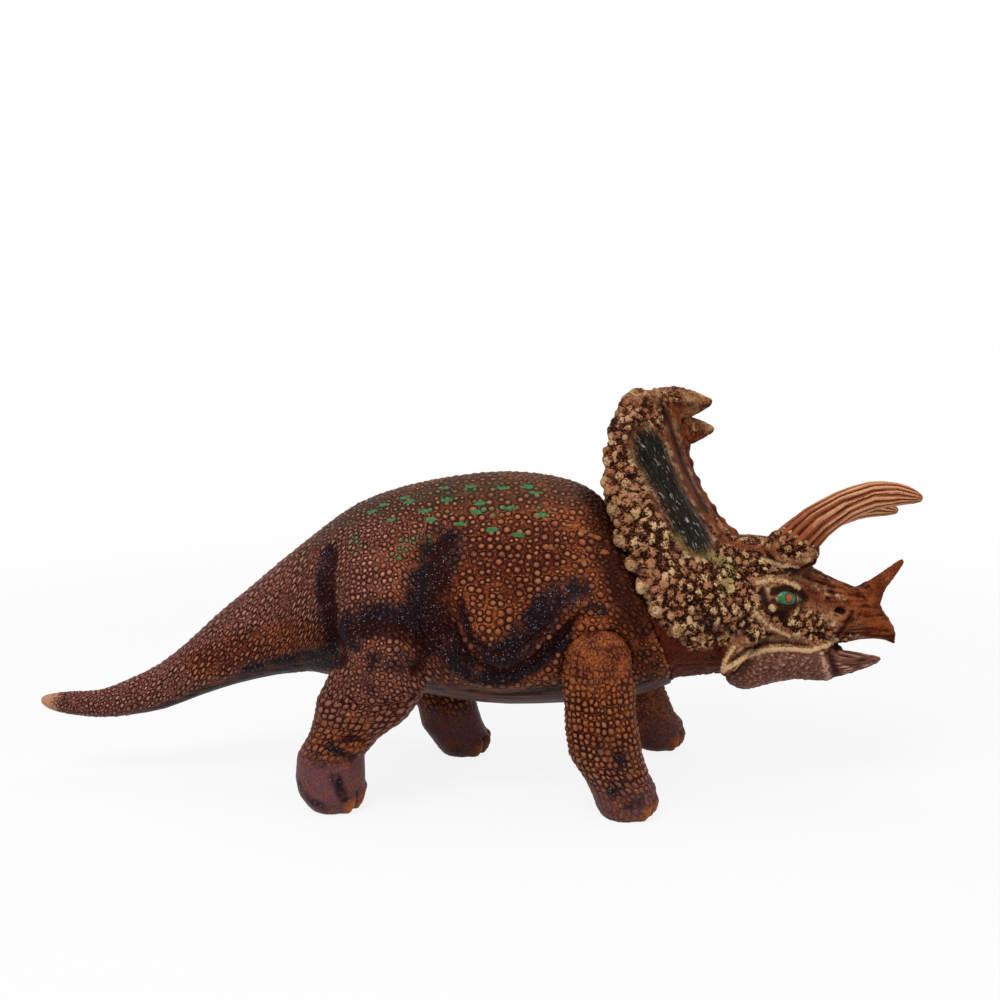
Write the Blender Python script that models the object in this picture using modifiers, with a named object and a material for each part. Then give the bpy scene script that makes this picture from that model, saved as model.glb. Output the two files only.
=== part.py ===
"""A hollow soft-vinyl toy dinosaur with a horned, frilled head that turns and front legs that swing.

Metres, +Z up. The nose points along +X and the right side faces -Y. The origin lies on the floor under
the middle of the figure. Sections are written as shares of the named sizes, and a spline runs through them.
"""

import math

import bmesh
import bpy
from mathutils import Matrix, Quaternion, Vector

# Walls and fits
WALL = 0.0024
FIT = 0.0003
OVERRUN = 0.004

# Trunk, measured along the body from the rump to the middle of the neck opening
TRUNK_LENGTH = 0.117
TRUNK_WIDTH = 0.066
TRUNK_HEIGHT = 0.1082
NECK_X = 0.0582
NECK_HEIGHT = 0.0628
NECK_RADIUS = 0.0285
NECK_SLOPE = math.radians(21)
LIP_STANDS_OUT = 0.0007
LIP_WIDTH = 0.0014

# Tail
TAIL_LENGTH = 0.0925
SPIGOT_LENGTH = 0.006

# Legs
HIND_LEG_INSET = 0.008
HIND_LEG_WIDTH = 0.0232
HIND_HEIGHT = 0.0858
HIND_STRIDE = 0.041
HIP_PEG_RADIUS = 0.005
HIP_PEG_LENGTH = 0.007
FRONT_LEG_INSET = 0.002
FRONT_LEG_WIDTH = 0.0224
SHOULDER_HEIGHT = 0.0508
FRONT_STRIDE = 0.0185
HUB_RADIUS = 0.013
SHOULDER_RECESS = 0.012

# Double-flanged plugs
PLUG_FLANGE = 0.002
NECK_SHAFT_RADIUS = 0.010
NECK_FLANGE_RADIUS = 0.0145
SHOULDER_SHAFT_RADIUS = 0.004
SHOULDER_FLANGE_RADIUS = 0.0065

# Head, measured from the middle of the neck opening, before it is turned
HEAD_TURN = math.radians(-17)
HEAD_LENGTH = 0.0848
SKULL_HEIGHT = 0.048
SKULL_WIDTH = 0.042
FRILL_HEIGHT = 0.0735
FRILL_REACH = 0.0155
FRILL_WIDTH = 0.0595
FRILL_THICKNESS = 0.0040
SCALLOP_DEPTH = 0.0028
SCALLOPS = 11
BROW_HORN_LENGTH = 0.046
BROW_HORN_RADIUS = 0.0072
BROW_SPREAD = 0.0225
NOSE_HORN_LENGTH = 0.0165
NOSE_HORN_RADIUS = 0.0052
JAW_WIDTH = 0.028
JAW_DEPTH = 0.0115
CHEEK_SPIKE_LENGTH = 0.0125
CHEEK_SPIKE_RADIUS = 0.0052
PRONG_LENGTH = 0.0125
PRONG_RADIUS = 0.0062

# Colours of the painted vinyl
HIDE_COLOUR = (0.33, 0.15, 0.07)
MASK_COLOUR = (0.52, 0.36, 0.19)
HORN_COLOUR = (0.25, 0.07, 0.03)
CHIN_COLOUR = (0.15, 0.06, 0.05)
PLUG_COLOUR = (0.60, 0.58, 0.52)
SATIN = 0.5

# Each side of the figure: its sign along Y and its name
SIDES = ((-1, "right"), (1, "left"))

# How finely the rings are drawn
TRUNK_POINTS = 36
HEAD_POINTS = 28
LIMB_POINTS = 20
HORN_POINTS = 12
CAVITY_POINTS = 20
ROUND_STEPS = 32
FRILL_COLUMNS = 5
FRILL_STEPS = 6

RUMP_X = NECK_X - TRUNK_LENGTH
NECK_CENTRE = Vector((NECK_X, 0, NECK_HEIGHT))
NECK_AXIS = Vector((math.cos(NECK_SLOPE), 0, math.sin(NECK_SLOPE)))
NECK_UP = Vector((-math.sin(NECK_SLOPE), 0, math.cos(NECK_SLOPE)))
PLUG_GRIP = 2 * WALL + 3 * FIT
# The neck opening leans, so places along the head are counted from its lower edge.
HEAD_START = NECK_RADIUS * math.sin(NECK_SLOPE) + FIT * math.cos(NECK_SLOPE)
HIND_LEG_SPREAD = TRUNK_WIDTH - 2 * HIND_LEG_INSET
FRONT_LEG_SPREAD = TRUNK_WIDTH - 2 * FRONT_LEG_INSET
HUB_INNER = TRUNK_WIDTH / 2 - SHOULDER_RECESS

# Each trunk section: its top and its bottom, as shares along TRUNK_LENGTH and of TRUNK_HEIGHT, and
# its share of half TRUNK_WIDTH. The neck opening ends the row and is worked out from the neck's own
# sizes.
TRUNK_SHARES = (
    (-0.060, 0.713, 0.030, 0.360, 0.515),
    (0.047, 0.805, 0.115, 0.367, 0.697),
    (0.167, 0.897, 0.201, 0.349, 0.848),
    (0.303, 0.952, 0.321, 0.312, 0.939),
    (0.457, 0.986, 0.457, 0.274, 0.985),
    (0.603, 1.000, 0.611, 0.257, 1.000),
    (0.739, 0.986, 0.765, 0.262, 0.985),
    (0.838, 0.950, 0.902, 0.270, 0.965),
    (0.894, 0.895, 1.000, 0.291, 0.905),
)

# Each tail section after the rump: top and bottom, as shares along TAIL_LENGTH behind the rump and of
# TRUNK_HEIGHT, and its share of half TRUNK_WIDTH.
TAIL_SHARES = (
    (0.189, 0.632, 0.092, 0.347, 0.440),
    (0.308, 0.549, 0.243, 0.317, 0.364),
    (0.427, 0.455, 0.384, 0.277, 0.288),
    (0.546, 0.375, 0.524, 0.231, 0.230),
    (0.665, 0.325, 0.654, 0.210, 0.188),
    (0.773, 0.289, 0.773, 0.203, 0.145),
    (0.881, 0.284, 0.881, 0.211, 0.115),
    (0.962, 0.279, 0.965, 0.228, 0.076),
    (0.998, 0.268, 0.998, 0.249, 0.030),
)

# Each hind leg section: height as a share of HIND_HEIGHT, place and half length along X as shares of
# HIND_LEG_WIDTH measured from the hip, outward place as a share of half HIND_LEG_SPREAD, half width
# as a share of HIND_LEG_WIDTH, and how much of the stride the section takes.
HIND_SHARES = (
    (0.000, -0.747, 0.329, 1.000, 0.351, 1.00),
    (0.028, -0.747, 0.408, 1.000, 0.439, 1.00),
    (0.063, -0.769, 0.474, 1.000, 0.491, 1.00),
    (0.124, -0.787, 0.496, 1.000, 0.500, 0.93),
    (0.207, -0.774, 0.478, 1.000, 0.465, 0.88),
    (0.289, -0.560, 0.512, 1.012, 0.456, 0.68),
    (0.359, -0.335, 0.658, 1.024, 0.482, 0.46),
    (0.429, -0.221, 0.732, 1.032, 0.496, 0.28),
    (0.510, -0.072, 0.728, 1.040, 0.491, 0.12),
    (0.615, 0.060, 0.719, 1.052, 0.461, 0.03),
    (0.744, 0.051, 0.711, 1.060, 0.417, 0.00),
    (0.860, 0.016, 0.596, 1.040, 0.351, 0.00),
    (0.953, 0.007, 0.386, 1.000, 0.237, 0.00),
    (1.000, 0.007, 0.149, 0.960, 0.105, 0.00),
)
HIP_SHARE = 0.261
HIP_PEG_SHARE = 0.700

# Each front leg section, in the same order, with heights as shares of SHOULDER_HEIGHT and the rest as
# shares of FRONT_LEG_WIDTH and half FRONT_LEG_SPREAD.
FRONT_SHARES = (
    (0.000, 0.417, 0.335, 1.000, 0.357, 1.00),
    (0.043, 0.431, 0.415, 1.000, 0.446, 1.00),
    (0.098, 0.431, 0.455, 1.000, 0.487, 1.00),
    (0.181, 0.386, 0.487, 1.000, 0.500, 1.00),
    (0.252, 0.301, 0.473, 1.000, 0.491, 0.93),
    (0.390, 0.141, 0.522, 1.000, 0.473, 0.92),
    (0.547, 0.083, 0.522, 1.010, 0.455, 0.80),
    (0.665, 0.047, 0.504, 1.026, 0.411, 0.60),
    (0.744, 0.033, 0.496, 1.058, 0.348, 0.45),
    (0.803, 0.025, 0.504, 1.077, 0.304, 0.33),
    (0.902, 0.011, 0.540, 1.097, 0.246, 0.14),
    (1.000, 0.002, 0.571, 1.084, 0.232, 0.00),
    (1.098, 0.002, 0.531, 1.071, 0.214, 0.00),
    (1.177, 0.002, 0.411, 1.055, 0.183, 0.00),
    (1.232, 0.002, 0.232, 1.032, 0.116, 0.00),
    (1.250, 0.002, 0.089, 1.016, 0.054, 0.00),
)
SHOULDER_SHARE = 0.850

# Each skull section: place along HEAD_LENGTH, top and bottom as shares of SKULL_HEIGHT, and half
# width as a share of SKULL_WIDTH.
SKULL_SHARES = (
    (0.0208, 0.458, -0.519, 0.662),
    (0.1544, 0.458, -0.500, 0.600),
    (0.2890, 0.492, -0.438, 0.490),
    (0.4237, 0.482, -0.344, 0.393),
    (0.5321, 0.398, -0.333, 0.333),
    (0.6394, 0.256, -0.302, 0.257),
    (0.7341, 0.185, -0.267, 0.195),
    (0.8277, 0.129, -0.246, 0.157),
    (0.9087, 0.046, -0.235, 0.124),
    (0.9623, -0.069, -0.248, 0.086),
    (0.9966, -0.167, -0.271, 0.036),
)
# The hollow ends this many drawn rings behind the neck opening, where the snout grows too slim for it.
HEAD_HOLLOW_RINGS = 8

# Each row of the frill's front face: where it leaves the middle ridge and where it meets the rim,
# both as shares of FRILL_REACH (behind the neck opening) and FRILL_HEIGHT, and the rim's share of
# half FRILL_WIDTH.
FRILL_SHARES = (
    (-2.70, 0.245, -1.66, -0.150, 0.660),
    (-2.33, 0.270, -1.00, -0.168, 0.840),
    (-1.93, 0.328, -0.24, -0.040, 1.000),
    (-1.57, 0.422, 0.13, 0.120, 1.030),
    (-1.22, 0.545, 0.57, 0.320, 1.010),
    (-0.98, 0.680, 0.83, 0.540, 0.940),
    (-0.90, 0.810, 0.73, 0.760, 0.830),
    (-0.72, 0.985, 0.40, 0.930, 0.640),
)
RIM_SWEEP_SHARE = 1.35

# Each section of the jaw: place along HEAD_LENGTH, top as a share of SKULL_HEIGHT, depth as a share
# of JAW_DEPTH and half width as a share of JAW_WIDTH.
JAW_SHARES = (
    (0.2525, -0.440, 0.48, 0.380),
    (0.2981, -0.340, 1.06, 0.470),
    (0.3495, -0.280, 1.32, 0.500),
    (0.4408, -0.240, 1.33, 0.464),
    (0.5583, -0.230, 1.22, 0.393),
    (0.6576, -0.245, 1.20, 0.325),
    (0.7318, -0.300, 0.88, 0.275),
    (0.8014, -0.318, 0.68, 0.232),
    (0.8973, -0.344, 0.34, 0.143),
    (0.9372, -0.362, 0.08, 0.050),
)

# Each section of a brow horn: forward, up and outward from the brow as shares of BROW_HORN_LENGTH,
# and its radius as a share of BROW_HORN_RADIUS.
BROW_HORN_SHARES = (
    (-0.110, -0.115, -0.010, 0.95),
    (0.000, 0.000, 0.000, 1.00),
    (0.152, 0.152, 0.022, 0.87),
    (0.337, 0.270, 0.048, 0.76),
    (0.537, 0.343, 0.078, 0.69),
    (0.702, 0.352, 0.105, 0.56),
    (0.826, 0.330, 0.122, 0.34),
    (0.876, 0.312, 0.128, 0.12),
)
BROW_SHARE = 0.5378
BROW_UP_SHARE = 0.405

# Each section of the nose horn, in the same order, without a place outward.
NOSE_HORN_SHARES = (
    (-0.300, -0.260, 1.10),
    (0.000, 0.000, 1.00),
    (0.240, 0.280, 0.72),
    (0.500, 0.540, 0.52),
    (0.700, 0.745, 0.32),
    (0.760, 0.800, 0.10),
)
NOSE_SHARE = 0.8859
NOSE_UP_SHARE = 0.060
NOSE_FLAT_SHARE = 0.62

# Cheek spikes and the two hooked points at the top of the frill: root and lean as shares of the sizes
# they follow.
CHEEK_SHARE = 0.2810
CHEEK_UP_SHARE = -0.265
CHEEK_OUT_SHARE = 0.800
CHEEK_LEAN_SHARE = -0.420
PRONG_ROOT_SHARES = ((-0.78, 0.938, -0.10, 0.06), (-0.84, 0.826, 0.10, 0.04))
SPIKE_OUT_SHARE = 0.05
SPIKE_FLAT_SHARE = 0.60
SPIKE_SHARES = (-0.50, 0.00, 0.40, 0.75, 0.95, 1.00)
SPIKE_RADIUS_SHARES = (1.00, 1.00, 0.78, 0.46, 0.20, 0.06)
BROW_BOSS_SHARE = 1.02
BOSS_DROP_SHARE = 0.95


def material(name, colour):
    """Vinyl of one colour."""
    made = bpy.data.materials.new(name)
    made.use_nodes = True
    shader = made.node_tree.nodes["Principled BSDF"]
    shader.inputs["Base Color"].default_value = (*colour, 1)
    shader.inputs["Roughness"].default_value = SATIN
    shader.inputs["Metallic"].default_value = 0
    return made


def new_object(name, bm, collection):
    """The bmesh as an object whose faces point out."""
    bmesh.ops.recalc_face_normals(bm, faces=bm.faces)
    mesh = bpy.data.meshes.new(name)
    bm.to_mesh(mesh)
    bm.free()
    made = bpy.data.objects.new(name, mesh)
    collection.objects.link(made)
    mesh.shade_smooth()
    return made


def finish_part(made, finish):
    made.data.materials.clear()
    made.data.materials.append(finish)


def as_cutter(made):
    """Marks a helper solid that only cuts or joins."""
    made.hide_render = True
    made.display_type = "WIRE"
    return made


def boolean(target, other, operation):
    step = target.modifiers.new(f"{operation.lower()} {other.name}", "BOOLEAN")
    step.operation = operation
    step.solver = "EXACT"
    step.object = other


def between(a, b, share):
    return a + (b - a) * share


def spline_rows(rows, steps):
    """Extra rows between the given ones, on a Catmull-Rom spline through them all."""
    found = []
    for index in range(len(rows) - 1):
        before = rows[max(index - 1, 0)]
        start = rows[index]
        end = rows[index + 1]
        after = rows[min(index + 2, len(rows) - 1)]
        for step in range(steps):
            t = step / steps
            found.append(tuple(
                0.5 * (
                    2 * b + (c - a) * t + (2 * a - 5 * b + 4 * c - d) * t ** 2
                    + (3 * b - a - 3 * c + d) * t ** 3
                )
                for a, b, c, d in zip(before, start, end, after)
            ))
    found.append(tuple(rows[-1]))
    return found


def ring(centre, across, up, points):
    """Points of an oval with the given half axes."""
    found = []
    for index in range(points):
        angle = 2 * math.pi * index / points
        found.append(centre + across * math.cos(angle) + up * math.sin(angle))
    return found


def loft(name, rings, collection):
    """A closed solid through the rings, which all have the same number of points."""
    bm = bmesh.new()
    loops = [[bm.verts.new(point) for point in points] for points in rings]
    for here, beyond in zip(loops, loops[1:]):
        for index in range(len(here)):
            following = (index + 1) % len(here)
            bm.faces.new((here[index], here[following], beyond[following], beyond[index]))
    bm.faces.new(loops[0])
    bm.faces.new(loops[-1])
    return new_object(name, bm, collection)


def cylinder(name, start, axis, length, radius, collection, steps=ROUND_STEPS):
    """A round bar from start along axis."""
    bm = bmesh.new()
    turn = axis.to_track_quat("Z", "Y").to_matrix().to_4x4()
    place = Matrix.Translation(start + axis * (length / 2)) @ turn
    bmesh.ops.create_cone(
        bm, cap_ends=True, segments=steps, radius1=radius, radius2=radius, depth=length, matrix=place
    )
    return new_object(name, bm, collection)


def plug(name, start, axis, shaft, flange, collection):
    """A turned plug: a flange on each end of a short shaft."""
    total = 2 * PLUG_FLANGE + PLUG_GRIP
    outline = (
        (0, total),
        (flange, total),
        (flange, total - PLUG_FLANGE),
        (shaft, total - PLUG_FLANGE),
        (shaft, PLUG_FLANGE),
        (flange, PLUG_FLANGE),
        (flange, 0),
        (0, 0),
    )
    mesh = bpy.data.meshes.new(name)
    edges = [(index, index + 1) for index in range(len(outline) - 1)]
    mesh.from_pydata([(radius, 0, height) for radius, height in outline], edges, [])
    made = bpy.data.objects.new(name, mesh)
    collection.objects.link(made)
    turned = made.modifiers.new("turned", "SCREW")
    turned.steps = ROUND_STEPS
    turned.render_steps = ROUND_STEPS
    turned.use_merge_vertices = True
    turned.merge_threshold = FIT / 10
    made.matrix_world = Matrix.Translation(start) @ axis.to_track_quat("Z", "Y").to_matrix().to_4x4()
    return made


def section(top, bottom, half_width, grow, points):
    """An upright oval through top and bottom, grown or shrunk all round."""
    middle = (top + bottom) / 2
    up = (top - bottom) / 2
    return ring(middle, Vector((0, half_width + grow, 0)), up + up.normalized() * grow, points)


def trunk_rows():
    """Tops, bottoms and half widths of the trunk's sections, from the rump to the neck opening."""
    rows = []
    for top_x, top_z, bottom_x, bottom_z, width in TRUNK_SHARES:
        rows.append((
            RUMP_X + top_x * TRUNK_LENGTH,
            top_z * TRUNK_HEIGHT,
            RUMP_X + bottom_x * TRUNK_LENGTH,
            bottom_z * TRUNK_HEIGHT,
            width * TRUNK_WIDTH / 2,
        ))
    top = NECK_CENTRE + NECK_UP * NECK_RADIUS
    bottom = NECK_CENTRE - NECK_UP * NECK_RADIUS
    rows.append((top.x, top.z, bottom.x, bottom.z, NECK_RADIUS))
    return rows


def row_ends(row):
    """The top and the bottom of one section."""
    return Vector((row[0], 0, row[1])), Vector((row[2], 0, row[3]))


def along(row, distance):
    """The section moved square to its own plane, towards the neck."""
    top, bottom = row_ends(row)
    up = (top - bottom).normalized()
    step = Vector((up.z, 0, -up.x)) * distance
    return (row[0] + step.x, row[1] + step.z, row[2] + step.x, row[3] + step.z, row[4])


def rings_of(rows, grow, points):
    return [section(*row_ends(row), row[4], grow, points) for row in rows]


def trunk_solid(collection):
    rows = spline_rows(trunk_rows(), 2)
    return loft("torso_shell", rings_of(rows, 0, TRUNK_POINTS), collection)


def trunk_cavity(collection):
    """The hollow inside the trunk. It runs out through the rump and stops a wall short of the neck."""
    rows = trunk_rows()
    inner = [along(rows[0], -OVERRUN)] + rows[:-1]
    inner.append(along(rows[-1], -WALL))
    return as_cutter(loft("trunk_cavity", rings_of(inner, -WALL, CAVITY_POINTS), collection))


def limb_rings(shares, height, width, spread, hip_x, stride, side, grow, points):
    """Level ovals from the sole up; side is -1 for the right leg and 1 for the left."""
    rows = []
    for up, place, half_x, outward, half_y, stride_share in shares:
        rows.append((
            hip_x + place * width + stride_share * stride,
            side * outward * spread / 2,
            up * height,
            half_x * width,
            half_y * width,
        ))
    rings = []
    for x, y, z, half_x, half_y in rows:
        across = Vector((half_x + grow, 0, 0))
        rings.append(ring(Vector((x, y, z)), across, Vector((0, half_y + grow, 0)), points))
    return rings


def hind_leg(name, side, stride, grow, collection):
    hip_x = RUMP_X + HIP_SHARE * TRUNK_LENGTH
    rings = limb_rings(
        HIND_SHARES, HIND_HEIGHT, HIND_LEG_WIDTH, HIND_LEG_SPREAD, hip_x, stride, side, grow, LIMB_POINTS
    )
    if grow:
        rings.append([point + Vector((0, 0, grow)) for point in rings[-1]])
    return loft(name, rings, collection)


def hip_peg(name, side, grow, collection):
    """The peg on a hind leg's inner side, which is glued into the trunk."""
    hip_x = RUMP_X + HIP_SHARE * TRUNK_LENGTH
    centre = Vector((hip_x, side * HIND_LEG_SPREAD / 2, HIP_PEG_SHARE * HIND_HEIGHT))
    length = HIND_LEG_WIDTH / 2 + HIP_PEG_LENGTH + grow
    return as_cutter(cylinder(
        name, centre, Vector((0, -side, 0)), length, HIP_PEG_RADIUS + grow, collection, LIMB_POINTS
    ))


def shoulder_axis_x():
    return RUMP_X + SHOULDER_SHARE * TRUNK_LENGTH


def front_leg(name, side, stride, collection, cutters):
    """A leg with a round hub, hollow where the plug's flange sits."""
    x = shoulder_axis_x()
    rings = limb_rings(
        FRONT_SHARES, SHOULDER_HEIGHT, FRONT_LEG_WIDTH, FRONT_LEG_SPREAD, x, stride, side, 0, LIMB_POINTS
    )
    made = loft(name, rings, collection)
    outward = Vector((0, side, 0))
    face = Vector((x, side * HUB_INNER, SHOULDER_HEIGHT))
    depth = FRONT_LEG_SPREAD / 2 - HUB_INNER
    hub = cylinder(f"{name}_hub", face, outward, depth, HUB_RADIUS, cutters)
    boolean(made, as_cutter(hub), "UNION")
    room = cylinder(
        f"{name}_flange_room", face + outward * WALL, outward, PLUG_FLANGE + 2 * FIT,
        SHOULDER_FLANGE_RADIUS + FIT, cutters, LIMB_POINTS
    )
    boolean(made, as_cutter(room), "DIFFERENCE")
    hole = cylinder(
        f"{name}_plug_hole", face - outward * OVERRUN, outward, OVERRUN + WALL + FIT,
        SHOULDER_SHAFT_RADIUS + FIT, cutters, LIMB_POINTS
    )
    boolean(made, as_cutter(hole), "DIFFERENCE")
    return made


def shoulder_pocket(name, side, grow, depth, collection):
    """The round recess in the trunk that the hub turns in, its floor that much deeper than the hub."""
    face = Vector((shoulder_axis_x(), side * (HUB_INNER - depth), SHOULDER_HEIGHT))
    return as_cutter(cylinder(
        name, face, Vector((0, side, 0)), FRONT_LEG_SPREAD / 2, HUB_RADIUS + grow, collection
    ))


def torso(collection, cutters):
    made = trunk_solid(collection)
    lip = cylinder(
        "neck_lip", NECK_CENTRE - NECK_AXIS * LIP_WIDTH, NECK_AXIS, LIP_WIDTH, NECK_RADIUS + LIP_STANDS_OUT,
        cutters
    )
    boolean(made, as_cutter(lip), "UNION")
    hollow = trunk_cavity(cutters)
    for side, word in SIDES:
        stride = 0 if side < 0 else HIND_STRIDE
        hip_wall = as_cutter(hind_leg(f"hip_wall_{word}", side, stride, FIT + WALL, cutters))
        boolean(hollow, hip_wall, "DIFFERENCE")
        cup = shoulder_pocket(f"shoulder_cup_{word}", side, FIT + WALL, FIT + WALL, cutters)
        boolean(hollow, cup, "DIFFERENCE")
    boolean(made, hollow, "DIFFERENCE")
    for side, word in SIDES:
        stride = 0 if side < 0 else HIND_STRIDE
        boolean(made, as_cutter(hind_leg(f"hip_pocket_{word}", side, stride, FIT, cutters)), "DIFFERENCE")
        boolean(made, hip_peg(f"hip_peg_hole_{word}", side, FIT, cutters), "DIFFERENCE")
        boolean(made, shoulder_pocket(f"shoulder_pocket_{word}", side, FIT, FIT, cutters), "DIFFERENCE")
        hole = cylinder(
            f"shoulder_hole_{word}",
            Vector((shoulder_axis_x(), side * HUB_INNER, SHOULDER_HEIGHT)),
            Vector((0, -side, 0)),
            WALL + FIT + OVERRUN,
            SHOULDER_SHAFT_RADIUS + FIT,
            cutters,
            LIMB_POINTS,
        )
        boolean(made, as_cutter(hole), "DIFFERENCE")
    neck_hole = cylinder(
        "neck_hole", NECK_CENTRE - NECK_AXIS * (WALL + OVERRUN), NECK_AXIS, WALL + 2 * OVERRUN,
        NECK_SHAFT_RADIUS + FIT, cutters
    )
    boolean(made, as_cutter(neck_hole), "DIFFERENCE")
    return made


def tail(collection, cutters):
    """The tail with the spigot that goes into the open rump, hollow in its thick part."""
    rump = trunk_rows()[0]
    rows = [along(rump, -FIT)]
    for top_x, top_z, bottom_x, bottom_z, width in TAIL_SHARES:
        rows.append((
            RUMP_X - top_x * TAIL_LENGTH,
            top_z * TRUNK_HEIGHT,
            RUMP_X - bottom_x * TAIL_LENGTH,
            bottom_z * TRUNK_HEIGHT,
            width * TRUNK_WIDTH / 2,
        ))
    spigot = [section(*row_ends(along(rump, SPIGOT_LENGTH)), rump[4], -WALL - FIT, LIMB_POINTS)]
    spigot.append(section(*row_ends(along(rump, -FIT)), rump[4], -WALL - FIT, LIMB_POINTS))
    made = loft("tail", spigot + rings_of(spline_rows(rows, 2), 0, LIMB_POINTS), collection)
    hollow = [along(rump, SPIGOT_LENGTH + OVERRUN)] + rows[:4]
    inner = loft("tail_cavity", rings_of(hollow, -2 * WALL - FIT, LIMB_POINTS), cutters)
    boolean(made, as_cutter(inner), "DIFFERENCE")
    return made


def along_head(share):
    """How far in front of the neck opening's middle a share of the head lies."""
    return HEAD_START + share * (HEAD_LENGTH - HEAD_START)


def skull_rings(grow, points):
    """Ovals from the neck opening to the tip of the beak, before the head is turned."""
    rows = []
    for place, top, bottom, width in SKULL_SHARES:
        x = along_head(place)
        rows.append((x, top * SKULL_HEIGHT, x, bottom * SKULL_HEIGHT, width * SKULL_WIDTH))
    base_top = NECK_UP * NECK_RADIUS + NECK_AXIS * FIT
    base_bottom = NECK_AXIS * FIT - NECK_UP * NECK_RADIUS
    rows.insert(0, (base_top.x, base_top.z, base_bottom.x, base_bottom.z, NECK_RADIUS))
    return rings_of(spline_rows(rows, 2), grow, points)


def tapered(name, middles, radii, collection, flat=1.0, points=HORN_POINTS):
    """A curved spike: rings square to the line of middles, each flattened crosswise by flat."""
    rings = []
    for index, (middle, radius) in enumerate(zip(middles, radii)):
        before = middles[max(index - 1, 0)]
        after = middles[min(index + 1, len(middles) - 1)]
        forward = (after - before).normalized()
        across = Vector((0, 1, 0))
        across = (across - forward * across.dot(forward)).normalized()
        up = forward.cross(across)
        rings.append(ring(middle, across * radius * flat, up * radius, points))
    return loft(name, rings, collection)


def brow_horn(name, side, grow, collection):
    root = Vector((along_head(BROW_SHARE), side * BROW_SPREAD / 2, BROW_UP_SHARE * SKULL_HEIGHT))
    rows = spline_rows(BROW_HORN_SHARES, 2)
    middles = [
        root + Vector((forward, side * outward, up)) * BROW_HORN_LENGTH for forward, up, outward, _ in rows
    ]
    if grow:
        middles[0] = middles[0] + (middles[0] - middles[1]).normalized() * grow
    radii = [share * BROW_HORN_RADIUS + grow for *_, share in rows]
    return tapered(name, middles, radii, collection)


def nose_horn(collection):
    root = Vector((along_head(NOSE_SHARE), 0, NOSE_UP_SHARE * SKULL_HEIGHT))
    rows = spline_rows(NOSE_HORN_SHARES, 2)
    middles = [root + Vector((forward, 0, up)) * NOSE_HORN_LENGTH for forward, up, _ in rows]
    radii = [share * NOSE_HORN_RADIUS for *_, share in rows]
    return as_cutter(tapered("nose_horn", middles, radii, collection, NOSE_FLAT_SHARE))


def cheek_spike(side, word, collection):
    root = Vector((
        along_head(CHEEK_SHARE), side * CHEEK_OUT_SHARE * SKULL_WIDTH / 2, CHEEK_UP_SHARE * SKULL_HEIGHT
    ))
    lean = Vector((CHEEK_LEAN_SHARE, side * SPIKE_OUT_SHARE, -1)).normalized() * CHEEK_SPIKE_LENGTH
    middles = [root + lean * share for share in SPIKE_SHARES]
    radii = [CHEEK_SPIKE_RADIUS * share for share in SPIKE_RADIUS_SHARES]
    return as_cutter(tapered(f"cheek_spike_{word}", middles, radii, collection, SPIKE_FLAT_SHARE))


def prong(index, collection):
    """One of the two forward hooks at the top of the frill."""
    back, up, side, rise = PRONG_ROOT_SHARES[index]
    root = Vector((-back * FRILL_REACH, side * FRILL_WIDTH / 2, up * FRILL_HEIGHT))
    lean = Vector((1, 0, rise)).normalized() * PRONG_LENGTH
    middles = [root + lean * share for share in SPIKE_SHARES]
    radii = [PRONG_RADIUS * share for share in SPIKE_RADIUS_SHARES]
    return as_cutter(tapered(f"frill_prong_{index}", middles, radii, collection))


def frill(collection):
    """A scalloped sheet swept back from its middle ridge on both sides, thickened behind its front face."""
    rows = spline_rows(FRILL_SHARES, FRILL_STEPS)
    bm = bmesh.new()
    lines = []
    for index, (ridge_x, ridge_z, rim_x, rim_z, width) in enumerate(rows):
        wave = abs(math.sin(math.pi * SCALLOPS * index / (len(rows) - 1)))
        ridge = Vector((-ridge_x * FRILL_REACH, 0, ridge_z * FRILL_HEIGHT))
        rim = Vector((-rim_x * FRILL_REACH, width * FRILL_WIDTH / 2, rim_z * FRILL_HEIGHT))
        rim = rim + (rim - ridge).normalized() * SCALLOP_DEPTH * (wave - 1)
        line = []
        for column in range(-FRILL_COLUMNS, FRILL_COLUMNS + 1):
            share = abs(column) / FRILL_COLUMNS
            point = between(ridge, rim, share ** RIM_SWEEP_SHARE)
            point.y = math.copysign(rim.y * math.sin(share * math.pi / 2), column) if column else 0
            line.append(bm.verts.new(point))
        lines.append(line)
    for here, beyond in zip(lines, lines[1:]):
        for index in range(len(here) - 1):
            bm.faces.new((here[index], here[index + 1], beyond[index + 1], beyond[index]))
    made = new_object("frill_sheet", bm, collection)
    thick = made.modifiers.new("thickness", "SOLIDIFY")
    thick.thickness = FRILL_THICKNESS
    thick.offset = 0
    return as_cutter(made)


def brow_boss(side, word, collection):
    """The rounded brow that a horn grows from."""
    bm = bmesh.new()
    bmesh.ops.create_uvsphere(
        bm, u_segments=HORN_POINTS, v_segments=HORN_POINTS // 2, radius=BROW_BOSS_SHARE * BROW_HORN_RADIUS
    )
    place = Vector((
        along_head(BROW_SHARE) - BROW_HORN_RADIUS / 2,
        side * (BROW_SPREAD - BROW_HORN_RADIUS / 2) / 2,
        BROW_UP_SHARE * SKULL_HEIGHT - BROW_HORN_RADIUS * BOSS_DROP_SHARE,
    ))
    bmesh.ops.translate(bm, verts=bm.verts, vec=place)
    return as_cutter(new_object(f"brow_boss_{word}", bm, collection))


def head_cavity(collection):
    """The hollow inside the skull. It starts a wall inside the neck opening and leaves the next ring out."""
    rings = skull_rings(-WALL, CAVITY_POINTS)[:HEAD_HOLLOW_RINGS]
    mouth = [point + NECK_AXIS * WALL for point in rings[0]]
    return as_cutter(loft("head_cavity", [mouth] + rings[2:], collection))


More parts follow.
